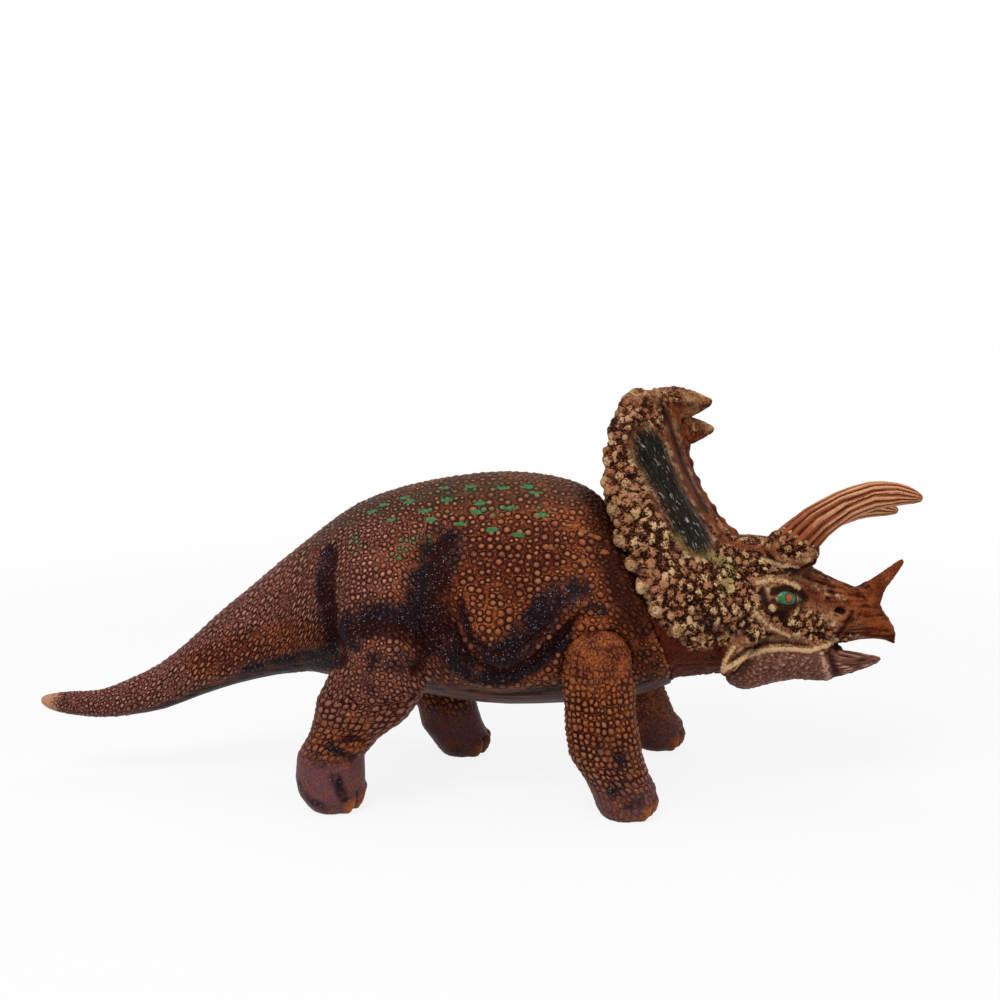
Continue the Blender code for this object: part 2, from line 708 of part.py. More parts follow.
def head(collection, cutters):
    """Skull, frill, nose horn, cheek spikes and neck stub in one hollow piece."""
    made = loft("head_shell", skull_rings(0, HEAD_POINTS), collection)
    boolean(made, frill(cutters), "UNION")
    boolean(made, nose_horn(cutters), "UNION")
    for side, word in SIDES:
        boolean(made, cheek_spike(side, word, cutters), "UNION")
        boolean(made, brow_boss(side, word, cutters), "UNION")
    for index in range(len(PRONG_ROOT_SHARES)):
        boolean(made, prong(index, cutters), "UNION")
    boolean(made, head_cavity(cutters), "DIFFERENCE")
    hole = cylinder(
        "head_neck_hole", NECK_AXIS * -OVERRUN, NECK_AXIS, WALL + 2 * OVERRUN, NECK_SHAFT_RADIUS + FIT,
        cutters
    )
    boolean(made, as_cutter(hole), "DIFFERENCE")
    for side, word in SIDES:
        boolean(made, as_cutter(brow_horn(f"horn_socket_{word}", side, FIT, cutters)), "DIFFERENCE")
    return made


def lower_jaw(collection, cutters):
    rows = []
    for place, top, depth, width in JAW_SHARES:
        x = along_head(place)
        z = top * SKULL_HEIGHT
        rows.append((x, z, x, z - depth * JAW_DEPTH, width * JAW_WIDTH))
    made = loft("lower_jaw", rings_of(spline_rows(rows, 2), 0, LIMB_POINTS), collection)
    palate = loft("palate", skull_rings(FIT, HEAD_POINTS), cutters)
    boolean(made, as_cutter(palate), "DIFFERENCE")
    return made


def clear_scene():
    for old in list(bpy.data.objects):
        bpy.data.objects.remove(old, do_unlink=True)


def new_collection(name):
    made = bpy.data.collections.new(name)
    bpy.context.scene.collection.children.link(made)
    return made


def add_hind_leg(side, word, finish, parts, cutters):
    back = 0 if side < 0 else HIND_STRIDE
    leg = hind_leg(f"hind_leg_{word}", side, back, 0, parts)
    boolean(leg, hip_peg(f"hip_peg_{word}", side, 0, cutters), "UNION")
    finish_part(leg, finish)


def add_front_leg(side, word, finish, parts, cutters):
    """The leg hangs from an empty on the shoulder's axis."""
    pivot = bpy.data.objects.new(f"shoulder_axis_{word}", None)
    pivot.location = (shoulder_axis_x(), side * HUB_INNER, SHOULDER_HEIGHT)
    cutters.objects.link(pivot)
    forward = 0 if side < 0 else FRONT_STRIDE
    leg = front_leg(f"front_leg_{word}", side, forward, parts, cutters)
    finish_part(leg, finish)
    leg.parent = pivot
    leg.matrix_parent_inverse = Matrix.Translation(pivot.location).inverted()


def add_shoulder_plug(side, word, finish, parts):
    outer = HUB_INNER + WALL + FIT + PLUG_FLANGE
    start = Vector((shoulder_axis_x(), side * outer, SHOULDER_HEIGHT))
    inward = Vector((0, -side, 0))
    made = plug(f"shoulder_plug_{word}", start, inward, SHOULDER_SHAFT_RADIUS, SHOULDER_FLANGE_RADIUS, parts)
    finish_part(made, finish)


def add_neck_plug(finish, parts):
    start = NECK_CENTRE - NECK_AXIS * (WALL + FIT + PLUG_FLANGE)
    finish_part(plug("neck_plug", start, NECK_AXIS, NECK_SHAFT_RADIUS, NECK_FLANGE_RADIUS, parts), finish)


def add_head(parts, cutters):
    """The head's pieces are drawn facing straight ahead and hang from an empty that turns at the neck."""
    turn = bpy.data.objects.new("head_turn_axis", None)
    turn.location = NECK_CENTRE
    turn.rotation_mode = "QUATERNION"
    turn.rotation_quaternion = Quaternion(NECK_AXIS, HEAD_TURN)
    horn = material("horn_brown_vinyl", HORN_COLOUR)
    pieces = [
        (head(parts, cutters), material("cream_painted_vinyl", MASK_COLOUR)),
        (lower_jaw(parts, cutters), material("mauve_brown_vinyl", CHIN_COLOUR)),
    ]
    for side, word in SIDES:
        pieces.append((brow_horn(f"brow_horn_{word}", side, 0, parts), horn))
    for made, finish in pieces:
        finish_part(made, finish)
        made.parent = turn
    for helper in cutters.objects:
        helper.parent = turn
    cutters.objects.link(turn)


def main():
    clear_scene()
    parts = new_collection("toy_dinosaur")
    cutters = new_collection("cutters")
    head_cutters = new_collection("head_cutters")
    hide = material("brown_painted_vinyl", HIDE_COLOUR)
    plain = material("natural_plug_plastic", PLUG_COLOUR)

    finish_part(torso(parts, cutters), hide)
    finish_part(tail(parts, cutters), hide)
    for side, word in SIDES:
        add_hind_leg(side, word, hide, parts, cutters)
        add_front_leg(side, word, hide, parts, cutters)
        add_shoulder_plug(side, word, plain, parts)
    add_neck_plug(plain, parts)
    add_head(parts, head_cutters)


main()
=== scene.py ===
import math

import bmesh
import bpy
import numpy as np
from bpy.props import FloatProperty, FloatVectorProperty, PointerProperty
from bpy.types import Node, NodeSocket, Operator, Panel, PropertyGroup
from mathutils import Matrix, Quaternion, Vector, noise
from mathutils.bvhtree import BVHTree
from mathutils.kdtree import KDTree


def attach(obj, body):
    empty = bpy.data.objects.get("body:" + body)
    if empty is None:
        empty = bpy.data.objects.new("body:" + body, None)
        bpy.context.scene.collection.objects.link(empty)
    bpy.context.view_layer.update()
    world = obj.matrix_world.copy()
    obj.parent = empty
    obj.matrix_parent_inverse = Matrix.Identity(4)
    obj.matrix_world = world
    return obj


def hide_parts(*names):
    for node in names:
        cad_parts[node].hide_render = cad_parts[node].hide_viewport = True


bl_info = {
    "name": "Toy horned dinosaur",
    "version": (1, 0, 0),
    "blender": (4, 5, 0),
    "location": "3D View > Sidebar > Dinosaur",
    "description": "Dresses a vinyl dinosaur figure with scaly, painted skins",
    "category": "Object",
}

MM = 0.001
MOST_TRIANGLES = 195000
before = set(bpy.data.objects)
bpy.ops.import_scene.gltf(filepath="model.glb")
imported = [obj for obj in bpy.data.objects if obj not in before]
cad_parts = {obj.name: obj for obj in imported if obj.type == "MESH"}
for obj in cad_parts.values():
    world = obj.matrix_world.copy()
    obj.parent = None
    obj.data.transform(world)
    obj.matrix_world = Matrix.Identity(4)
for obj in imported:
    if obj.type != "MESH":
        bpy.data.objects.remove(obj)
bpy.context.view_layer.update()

# The camera that took the reference picture, whose frame is square
PHOTO_SIDE = 1000
FOCAL_PIXELS = 1150
SENSOR = 36.0
CAMERA_PLACE = Vector((9.5, -387.0, 157.8)) * MM
CAMERA_DOWN = math.radians(8.7)
CAMERA_AHEAD = Vector((0, math.cos(CAMERA_DOWN), -math.sin(CAMERA_DOWN)))
CAMERA_UP = Vector((0, math.sin(CAMERA_DOWN), math.cos(CAMERA_DOWN)))

# The neck's axis, about which the head is turned a little to its right
NECK_CENTRE = Vector((58.2, 0, 62.8)) * MM
NECK_SLOPE = math.radians(21)
NECK_AXIS = Vector((math.cos(NECK_SLOPE), 0, math.sin(NECK_SLOPE)))
HEAD_TURN = Quaternion(NECK_AXIS, math.radians(-17))
SHOULDER = Vector((40.65, 0, 50.8)) * MM
HUB_RADIUS = 13.0 * MM
# The hub is drawn a little slimmer than the solid, as in the picture
HUB_SLIM = 0.85
HUB_INNER = 21.0 * MM
HIND_STRIDE = 41.0 * MM
FRONT_STRIDE = 18.5 * MM

# Trunk and tail along their length, in millimetres: place, height of the middle, radius, spacing of the scales
BARREL = (
    (-151, 28, 1.5, 1.5), (-140, 26.8, 4.3, 1.7), (-130, 26.7, 5.2, 1.9), (-120, 29, 6.9, 2.1),
    (-108, 33, 8.8, 2.2), (-96, 40, 11, 2.3), (-84, 47, 14, 2.4), (-72, 53, 17, 2.5), (-60, 58, 19.5, 2.1),
    (-50, 63, 25, 1.9), (-38, 67.5, 29, 1.9), (-22, 68.4, 34, 2.2), (-5, 68, 38, 2.9), (12, 68, 39.5, 3.0),
    (29, 67.5, 39, 2.9), (43, 66, 37, 2.7), (60, 63, 32, 2.5), (76, 61, 30, 2.5),
)
# The middle line of the hind leg that stands back, and of the front one: height, place, share of the stride
HIND_LINE = (
    (0, -45.6, 1), (10.6, -46.5, 0.93), (17.8, -46.2, 0.88), (24.8, -41.3, 0.68), (30.8, -36.0, 0.46),
    (36.8, -33.4, 0.28), (43.8, -29.9, 0.12), (52.8, -26.9, 0.03), (85, -28.1, 0),
)
FRONT_LINE = (
    (0, 50.0, 1), (9.2, 49.3, 1), (12.8, 47.4, 0.93), (19.8, 43.8, 0.92), (27.8, 42.5, 0.8), (33.8, 41.7, 0.6),
    (37.8, 41.4, 0.45), (45.8, 40.9, 0.14), (63.5, 40.7, 0),
)
HIND_SPREAD = 25.0
FRONT_SPREAD = 31.0
LIMB_RADIUS = 11.0
LIMB_SPACING = 2.2

# The frill, in millimetres before the head is turned: where a row leaves the ridge (x, z) and ends at the rim
FRILL_ROWS = (
    (41.9, 18.0, 25.7, 19.6, -11.0), (36.1, 19.8, 15.5, 25.0, -12.3), (29.9, 24.1, 3.7, 29.75, -2.9),
    (24.3, 31.0, -2.0, 30.6, 8.8), (18.9, 40.1, -8.8, 30.0, 23.5), (15.2, 50.0, -12.9, 28.0, 39.7),
    (13.9, 59.5, -11.3, 24.7, 55.9), (11.2, 68.0, -6.2, 19.0, 68.4), (11.2, 64.0, 3.5, 9.0, 72.0),
    (11.2, 64.0, 9.0, 1.0, 72.6),
)
LOBE_TIPS = (
    (631, 391), (657, 387), (616, 415), (611, 438), (604, 461), (602, 484), (609, 512), (614, 543), (624, 568),
    (635, 591), (652, 614), (673, 634), (699, 640), (722, 637),
)
LOBE_RADII = (6.5, 3.5, 2.4)
# The cheek's lower rim, which hangs over the jaw
CHEEK_RIM = ((753, 654), (762, 649), (773, 647), (784, 646), (795, 646), (806, 647), (816, 645), (824, 643))
CHEEK_RADII = (4.6, 1.6, 2.7)
# How steeply the frill's glossy band falls towards the brow
BAND_SLOPE = math.radians(66)
NOTCH_WIDTH = 3.2
NOTCH_DEPTH = 2.6
# Notches cut down into the frill's top, in pixels, with width and depth in millimetres
HEAD_DROPS = ((((638, 391), (638, 393)), 3.4, 3.2), (((665, 389), (665, 391)), 3.4, 3.2))
# The swelling that a brow horn grows out of, from the horn's root, in millimetres
BROW_SHIFT = (-1.0, 0.0, -2.0)
BROW_RADII = (9.0, 7.2, 7.5)
# A brow horn's middle line, from its root, in millimetres
HORN_ROOT = Vector((50.5, 11.25, 19.4))
HORN_LINE = (
    (-5.1, -0.5, -5.3), (0, 0, 0), (7.0, 1.0, 7.0), (15.5, 2.2, 12.4), (24.7, 3.6, 15.8), (32.3, 4.8, 16.2),
    (38.0, 5.6, 15.2), (40.3, 5.9, 14.4),
)

# Lines drawn onto the near side and mirrored: pixels of the picture, then width and height in millimetres
TRACE_STEP = 3
BODY_RELIEF = (
    (((440, 548), (441, 570), (439, 600), (437, 628), (431, 650), (420, 670)), 8, -2.6),
    (((447, 556), (448, 580), (448, 606), (449, 640)), 2.6, -2.6),
    (((330, 556), (326, 578), (326, 600), (331, 622), (337, 644), (340, 660)), 7, -2.4),
    (((352, 565), (366, 545), (388, 540), (404, 556), (402, 590), (380, 612)), 12, 1.1),
    (((350, 632), (375, 628), (400, 632), (420, 640)), 7, -0.9),
    (((452, 620), (455, 640), (463, 655), (477, 666), (498, 674), (516, 671), (535, 661), (550, 648), (561, 637),
      (571, 624), (580, 616)), 3.4, -2.2),
    (((461, 600), (464, 622), (474, 643), (491, 655), (513, 653), (531, 641), (545, 628)), 2.4, -1.0),
    (((456, 600), (458, 626), (468, 648), (486, 660), (507, 663), (528, 653), (544, 640), (558, 626)), 2.6, 0.9),
    (((441, 652), (453, 668), (470, 679), (494, 685), (520, 683), (540, 674), (558, 658)), 4.2, 1.1),
    (((556, 622), (572, 606), (594, 598), (614, 606)), 9, 1.2),
    (((552, 676), (560, 652), (575, 633), (592, 626), (608, 628), (622, 638)), 3.2, 1.5),
    (((622, 545), (627, 576), (634, 597), (641, 616), (650, 635), (658, 650), (668, 672)), 1.8, 0.8),
    (((383, 700), (398, 690), (408, 700), (400, 714)), 5, 0.9),
    (((322, 712), (336, 720), (352, 716), (366, 704)), 4, 0.5),
    (((340, 742), (352, 738), (364, 742)), 3, -0.7),
    (((470, 690), (500, 694), (540, 692)), 2.0, -0.4),
)
# Dark wash in strokes; in the narrow slit before the haunch and on the chest behind the front leg it is also painted
# shade of those hollows
BODY_WASH_AND_SHADE = (
    (((598, 498), (608, 530), (616, 560), (628, 590), (640, 620)), 14, 1.0), (((446, 566), (448, 600), (449, 640)), 2.6, 1.0),
    (((452, 590), (456, 625)), 5, 0.45), (((625, 640), (648, 660), (655, 690)), 9, 0.6),
)
TOE_ANGLES = (-52, -18, 16, 50)
BODY_SPRAY = (
    (((446, 546), (432, 570), (424, 596), (424, 622), (434, 636)), 13, 1.0),
    (((452, 540), (454, 552)), 7, 0.8),
    (((345, 636), (352, 625), (375, 618), (400, 616), (420, 624)), 9.5, 0.9),
    (((352, 622), (350, 634), (356, 644)), 6, 0.7),
    (((331, 556), (327, 580), (328, 604), (334, 626), (338, 646)), 7, 0.85),
    (((456, 634), (464, 652), (478, 665), (498, 672), (516, 671), (535, 661), (550, 648), (565, 632)), 7, 1.0),
    (((462, 610), (467, 628), (477, 643), (491, 654), (513, 652), (531, 640)), 4.5, 0.7),
    (((494, 660), (512, 648), (530, 630), (546, 610), (560, 597), (576, 592)), 9.5, 1.0),
    (((574, 600), (590, 606), (603, 612)), 5, 0.55),
    (((444, 655), (458, 668), (478, 677), (505, 679), (532, 670)), 5, 0.85),
    (((170, 706), (220, 688), (260, 676), (300, 668), (338, 661)), 6.0, 0.9),
    (((250, 670), (280, 662), (310, 655), (336, 650)), 5.5, 0.8),
    (((300, 786), (308, 800), (325, 810)), 5, 0.6), (((334, 776), (341, 788), (346, 798)), 4.5, 0.65),
    (((330, 748), (342, 752), (352, 758)), 4, 0.6), (((312, 758), (322, 764)), 4, 0.5),
    (((370, 655), (385, 664), (400, 668)), 5, 0.6), (((400, 652), (412, 664)), 4, 0.5),
    (((596, 742), (606, 752), (612, 772), (604, 790)), 4, 0.6),
    (((372, 664), (366, 680), (372, 690)), 4, 0.5),
)
GREEN_SPOTS = (
    (445, 488), (503, 488), (535, 493), (447, 500), (480, 503), (510, 508), (425, 511), (477, 512), (542, 515),
    (431, 520), (461, 524), (492, 530), (519, 535), (384, 505), (405, 498), (409, 502), (470, 487), (528, 487),
    (392, 520), (372, 512),
)
MOSS_STROKES = (
    (((352, 522), (357, 548)), 5, 1.0), (((395, 556), (412, 540), (440, 540)), 6, 1.0),
    (((372, 515), (410, 500), (450, 488)), 6, 0.9), (((440, 498), (490, 486), (540, 486)), 6, 0.8),
    (((450, 515), (500, 510), (540, 510)), 6, 0.7), (((470, 530), (520, 530)), 5, 0.5),
)
TAN_SPOTS = ((571, 526), (583, 531), (596, 537), (549, 547), (583, 561), (604, 552))
HEAD_RELIEF = (
    (((757, 583), (770, 579), (785, 580), (801, 589)), 2.4, 1.1),
    (((757, 613), (761, 618), (766, 624)), 1.7, 0.8),
    (((771, 628), (780, 632), (789, 636)), 1.7, 0.8),
    (((772, 608), (773, 609)), 2.4, 1.1),
    (((785, 598), (787, 598)), 4.2, -0.9),
    (((764, 590), (768, 600), (778, 606)), 1.6, -0.6),
    (((768, 548), (772, 557), (786, 564), (802, 562), (813, 554)), 2.4, 0.9),
    (((834, 606), (840, 604), (846, 607), (847, 614), (841, 618), (834, 615)), 1.6, 0.5),
    (((839, 610), (842, 611)), 2.5, -2.4),
    (((827, 598), (829, 599)), 1.3, -0.7),
    (((868, 586), (862, 600), (855, 609), (847, 625), (838, 638)), 1.5, 0.6),
    (((872, 590), (866, 604), (860, 614), (852, 630)), 1.1, -0.5),
    (((720, 673), (728, 668), (737, 663), (746, 657), (765, 650), (782, 649), (810, 651), (826, 646), (836, 639)),
     1.9, 0.7),
    (((722, 671), (725, 660), (733, 648), (742, 640)), 1.8, 0.8),
    (((733, 660), (745, 650), (765, 643), (785, 642), (808, 645)), 1.6, -0.6),
    (((855, 583), (866, 583), (878, 580)), 1.6, 0.4),
)
HEAD_PAINT = (
    ("gloss", ((651, 450), (657, 464), (665, 482), (674, 500), (684, 518), (695, 534)), 13.0, 1.2),
    ("brown", ((674, 410), (684, 430), (690, 455), (698, 478), (707, 500), (717, 514), (733, 528)), 6.5, 1.0),
    ("brown", ((668, 412), (670, 436), (680, 462), (692, 492), (706, 515), (722, 533)), 5.5, 1.0),
    ("brown", ((690, 398), (710, 396)), 4.0, 0.35), ("brown", ((688, 410), (706, 424)), 4.0, 0.35),
    ("moss", ((690, 396), (710, 394)), 4.0, 0.2), ("moss", ((688, 412), (706, 424)), 4.0, 0.2),
    ("brown", ((720, 540), (740, 546), (756, 548), (768, 552)), 4.5, 0.9),
    ("brown", ((806, 574), (822, 582), (842, 588)), 5.5, 1.0), ("brown", ((800, 566), (820, 574)), 4.0, 1.0),
    ("brown", ((804, 592), (818, 600), (832, 604), (848, 606)), 5.0, 0.95),
    ("brown", ((846, 590), (856, 600), (850, 620), (842, 634)), 5.0, 1.0),
    ("bruise", ((676, 462), (686, 482), (696, 502), (708, 522)), 4.5, 0.7),
    ("moss", ((680, 536), (692, 546), (708, 556), (726, 564)), 5.0, 0.55),
    ("moss", ((730, 568), (726, 588)), 3.5, 0.6),
    ("bruise", ((634, 566), (640, 572)), 4, 1.0),
    ("bruise", ((645, 590), (649, 594)), 3, 1.0),
    ("bruise", ((752, 646), (764, 640), (784, 639), (800, 641)), 4.0, 0.9),
    ("bruise", ((672, 545), (682, 556)), 4, 0.8),
    ("bruise", ((700, 622), (722, 630), (738, 634)), 5, 0.9),
    ("bruise", ((608, 500), (614, 512)), 4, 0.8),
    ("bruise", ((740, 610), (752, 640)), 4, 0.7),
    ("bruise", ((770, 572), (790, 572), (806, 570)), 3, 0.9),
    ("wash", ((660, 404), (668, 420), (674, 440), (682, 462), (694, 488), (706, 510)), 3.6, 0.8),
    ("wash", ((646, 398), (644, 406)), 2.4, 0.8), ("wash", ((620, 428), (632, 420), (640, 412)), 2.0, 0.5),
    ("wash", ((762, 592), (765, 602), (775, 612), (786, 614)), 3.2, 1.0),
    ("wash", ((773, 601), (782, 608), (794, 607), (803, 600)), 2.0, 0.9),
    ("wash", ((773, 592), (786, 588), (799, 591), (805, 598)), 2.6, 1.1),
    ("wash", ((804, 566), (824, 576), (848, 583), (866, 582)), 1.3, 0.9),
    ("wash", ((796, 572), (812, 580), (834, 587)), 1.5, 0.9), ("wash", ((812, 570), (838, 578), (858, 580)), 1.0, 0.7),
    ("wash", ((768, 554), (776, 563), (795, 570), (814, 562)), 2.4, 0.9),
    ("wash", ((839, 610), (842, 612)), 2.6, 1.3),
    ("wash", ((797, 590), (806, 597), (803, 605)), 3.4, 0.5),
    ("wash", ((827, 598), (829, 599)), 1.4, 1.0),
    ("wash", ((852, 612), (846, 624), (838, 634), (836, 640)), 1.6, 0.9),
    ("wash", ((733, 660), (745, 650), (765, 643), (785, 642), (808, 645)), 1.6, 0.8),
    ("cream", ((757, 583), (770, 580), (785, 581), (799, 588)), 1.6, 0.9),
    ("cream", ((757, 613), (761, 618), (766, 624)), 1.5, 1.0),
    ("cream", ((771, 628), (780, 632), (789, 636)), 1.5, 1.0),
    ("cream", ((772, 607), (773, 609)), 2.2, 1.0),
    ("cream", ((763, 559), (780, 565), (799, 567)), 1.8, 0.9),
    ("cream", ((720, 673), (728, 668), (737, 663), (746, 657), (765, 650), (782, 649), (810, 651), (826, 646),
               (836, 640)), 1.7, 1.1),
    ("cream", ((722, 671), (725, 660), (733, 648)), 2.0, 0.9),
    ("cream", ((684, 394), (696, 390), (709, 392)), 1.8, 0.45),
    ("cream", ((686, 412), (694, 416), (704, 422)), 1.8, 0.45),
    ("wash", ((676, 404), (684, 406), (692, 404)), 2.0, 0.7), ("wash", ((678, 430), (690, 428)), 2.4, 0.6),
    ("cream", ((628, 396), (634, 392)), 2.2, 0.45), ("cream", ((648, 392), (660, 388)), 2.2, 0.45),
    # A painted highlight along the nose horn's upper side, in cream
    ("cream", ((884, 582), (893, 574)), 1.2, 0.5),
)
NOSE_REACH = 8.0
NOSE_SLIM = 0.5
NOSE_HORN = ((880, 588), (892, 576), (899, 566))
SMOOTH_PLACES = (
    NOSE_HORN, ((800, 594), (812, 604)),
    ((840, 588), (850, 600), (838, 618), (822, 600)), ((868, 610), (880, 622), (888, 634)),
    ((800, 575), (820, 584), (835, 590)), ((780, 596), (792, 598)),
    ((690, 396), (709, 396)), ((688, 408), (706, 424)), ((632, 392), (634, 398)), ((656, 388), (650, 396)),
    ((670, 436), (680, 462), (692, 492), (706, 515)),
)
EYE = (785.4, 598)
SMOOTH = {"interpolation_type": "SMOOTHSTEP"}
PAINT = {"data_type": "RGBA"}
HIDE_LAYERS = (
    "limb", "tip", "belly", "relief", "airbrush", "back", "green", "moss", "scute", "toes", "foot", "purple", "wash"
)
FLAT_PLACES = ("barrel_place", "limb_place")
HEAD_LAYERS = ("tint", "smooth", "neck", "brown", "gloss", "moss", "cream", "bruise", "wash", "knob")


def linear(hex_colour):
    """An sRGB hex colour as linear red, green, blue and alpha."""
    found = []
    for start in (1, 3, 5):
        share = int(hex_colour[start:start + 2], 16) / 255
        found.append(share / 12.92 if share <= 0.04045 else ((share + 0.055) / 1.055) ** 2.4)
    return (*found, 1.0)


def colour(name, hex_colour, words):
    return FloatVectorProperty(
        name=name, description=words, subtype="COLOR", size=4, min=0, max=1, default=linear(hex_colour)
    )


def length(name, millimetres, words):
    return FloatProperty(name=name, description=words, subtype="DISTANCE", min=0, default=millimetres * MM)


class HideSettings(PropertyGroup):
    """The trunk, tail and legs."""
    relief: length("Relief", 0.42, "Height of a scale")
    ground: colour("Ground", "#924C28", "Orange-brown paint")
    ruddy: colour("Ruddy ground", "#5A2413", "Redder brown in large patches")
    top: colour("Scale tops", "#B27350", "Dry-brushed tops of the scales")
    groove: colour("Grooves", "#260702", "Dark maroon wash round the scales")
    limb: colour("Leg ground", "#9A5228", "Warmer brown of the legs")
    purple: colour("Tail", "#774840", "Purplish brown of tail and thighs")
    tail_top: colour("Tail scale tops", "#BC8C7C", "Rubbed tops of the tail's scales")
    airbrush: colour("Airbrush", "#150B12", "Blue-black overspray")
    # Also the colour of painted sheen and glints
    dust_and_sheen: colour("Dust", "#B9B0B4", "Specks of dust")
    green: colour("Green spots", "#3C7548", "Brushed spots on the back")
    back: colour("Back", "#2B2115", "Olive grey along the spine")
    scute: colour("Scutes", "#8E542F", "Tan oval scales by the shoulder")
    belly: colour("Belly", "#280E0A", "Dark brown belly")
    belly_streak: colour("Belly streaks", "#5E3728", "Lighter streaks along the belly")
    toes: colour("Toes", "#AC5E26", "Orange paint on the toes")
    foot: colour("Feet", "#67444A", "Mauve-brown feet")
    tip: colour("Tail tip", "#B98468", "Pale tan-pink tip of the tail")


class MaskSettings(PropertyGroup):
    """The head and its frill."""
    knob: length("Knobs", 3.0, "Spacing of the knobs on the frill")
    relief: length("Relief", 1.1, "Height of a knob")
    cream: colour("Cream", "#C9A57A", "Dry-brushed knobs")
    pink: colour("Pinkish tan", "#A27050", "Knobs with less paint")
    tan: colour("Tan", "#5E341C", "Flanks of the knobs")
    dark: colour("Dark wash", "#180502", "Dark brown between the knobs")
    brown: colour("Snout", "#471809", "Orange-brown snout, ridge and beak")
    rubbed: colour("Rubbed snout", "#7E3F1E", "High spots of the snout")
    gloss: colour("Glossy band", "#080D08", "Green-black hollow of the frill")
    moss: colour("Moss", "#8A8048", "Yellow-green tinge")


class TrimSettings(PropertyGroup):
    """Horns, jaw and eyes."""
    horn: colour("Horn", "#8C4A2A", "Reddish-brown horns")
    horn_light: colour("Horn ridges", "#C8926C", "Rubbed ridges of the horns")
    horn_dark: colour("Horn grooves", "#340A03", "Dark wash in the horns' grooves")
    chin: colour("Jaw", "#653C30", "Mauve-brown lower jaw")
    chin_light: colour("Jaw ridges", "#B48C76", "Rubbed ridges of the jaw")
    chin_dark: colour("Jaw wash", "#2B0F0A", "Dark wash on the jaw")
    eye: colour("Eye", "#357A4A", "Green eye")
    pupil: colour("Pupil", "#9A400F", "Orange pupil")
    lid: colour("Lid line", "#120C08", "Black line round the eye")
    plug: colour("Plug", "#CFCABC", "Natural plastic of the hidden plugs")


def settings():
    return bpy.context.scene.dinosaur_hide, bpy.context.scene.dinosaur_mask, bpy.context.scene.dinosaur_trim


def add(tree, kind, inputs=None, **options):
    """Adds a node. An input is named or numbered; its value may be a socket, or a node for its first output."""
    made = tree.nodes.new(kind if kind.startswith(("Geometry", "NodeGroup")) else "ShaderNode" + kind)
    for name, value in options.items():
        setattr(made, name, value)
    for name, value in (inputs or {}).items():
        if isinstance(name, int):
            socket = made.inputs[name]
        else:
            socket = next(found for found in made.inputs if found.name == name and found.enabled)
        if isinstance(value, Node):
            value = next(found for found in value.outputs if found.enabled)
        if isinstance(value, NodeSocket):
            tree.links.new(value, socket)
        else:
            socket.default_value = value
    return made


def read_layers(tree, names):
    """The layers stored on a skin, as a material or as geometry nodes read them."""
    found = {}
    for name in names:
        flat = name in FLAT_PLACES
        if tree.type == "GEOMETRY":
            kind = "FLOAT_VECTOR" if flat else "FLOAT"
            found[name] = add(tree, "GeometryNodeInputNamedAttribute", {"Name": name}, data_type=kind)
        else:
            found[name] = add(tree, "Attribute", attribute_name=name).outputs["Vector" if flat else "Fac"]
    return found


def photo_ray(across, down):
    """The direction from the camera through a pixel of the picture."""
    right = (across - PHOTO_SIDE / 2) / FOCAL_PIXELS
    up = (PHOTO_SIDE / 2 - down) / FOCAL_PIXELS
    return (CAMERA_AHEAD + Vector((right, 0, 0)) + CAMERA_UP * up).normalized()


def pixel_of(place):
    """The pixel of the picture that a place shows at."""
    gap = place - CAMERA_PLACE
    ahead = gap.dot(CAMERA_AHEAD)
    half = PHOTO_SIDE / 2
    return Vector((half + FOCAL_PIXELS * gap.x / ahead, half - FOCAL_PIXELS * gap.dot(CAMERA_UP) / ahead))


def body_mirror(point):
    return Vector((point[0], -point[1], point[2]))


def head_mirror(point):
    """The same place on the head's other side."""
    straight = HEAD_TURN.inverted() @ (Vector(point) - NECK_CENTRE)
    straight.y = -straight.y
    return NECK_CENTRE + HEAD_TURN @ straight


def on_head(x, y, z):
    """A place on the head given in millimetres from the neck's centre, before the head is turned."""
    return NECK_CENTRE + HEAD_TURN @ (Vector((x, y, z)) * MM)


def cad_copy(node):
    """A closed copy of a CAD node's mesh."""
    bm = bmesh.new()
    bm.from_mesh(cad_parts[node].data)
    bmesh.ops.remove_doubles(bm, verts=bm.verts, dist=0.01 * MM)
    return bm


def disc(centre, axis, radius, depth):
    """A round plate about centre, square to axis."""
    bm = bmesh.new()
    turn = Vector(axis).to_track_quat("Z", "Y").to_matrix().to_4x4()
    bmesh.ops.create_cone(
        bm, cap_ends=True, segments=48, radius1=radius, radius2=radius, depth=depth,
        matrix=Matrix.Translation(centre) @ turn
    )
    return bm


def blob(centre, radii, turn):
    """An egg-shaped swelling that the skin is drawn over."""
    bm = bmesh.new()
    place = Matrix.Translation(centre) @ turn.to_4x4() @ Matrix.Diagonal((*radii, 1))
    bmesh.ops.create_icosphere(bm, subdivisions=3, radius=1, matrix=place)
    return bm


def object_of(name, bm):
    mesh = bpy.data.meshes.new(name)
    bm.to_mesh(mesh)
    bm.free()
    made = bpy.data.objects.new(name, mesh)
    bpy.context.scene.collection.objects.link(made)
    return made


def apply_modifiers(made):
    """Bakes the modifiers into the mesh."""
    bpy.context.view_layer.update()
    evaluated = made.evaluated_get(bpy.context.evaluated_depsgraph_get())
    mesh = bpy.data.meshes.new_from_object(evaluated)
    mesh.name = made.name
    made.modifiers.clear()
    made.data = mesh


def keep_outside(made):
    """Deletes every loose shell but the largest, which leaves the outer skin."""
    bm = bmesh.new()
    bm.from_mesh(made.data)
    left = set(bm.verts)
    shells = []
    while left:
        reached = [left.pop()]
        shell = set(reached)
        while reached:
            for edge in reached.pop().link_edges:
                for beyond in edge.verts:
                    if beyond in left:
                        left.remove(beyond)
                        shell.add(beyond)
                        reached.append(beyond)
        shells.append(shell)
    largest = max(shells, key=len)
    bmesh.ops.delete(bm, geom=[vert for vert in bm.verts if vert not in largest], context="VERTS")
    bm.to_mesh(made.data)
    bm.free()


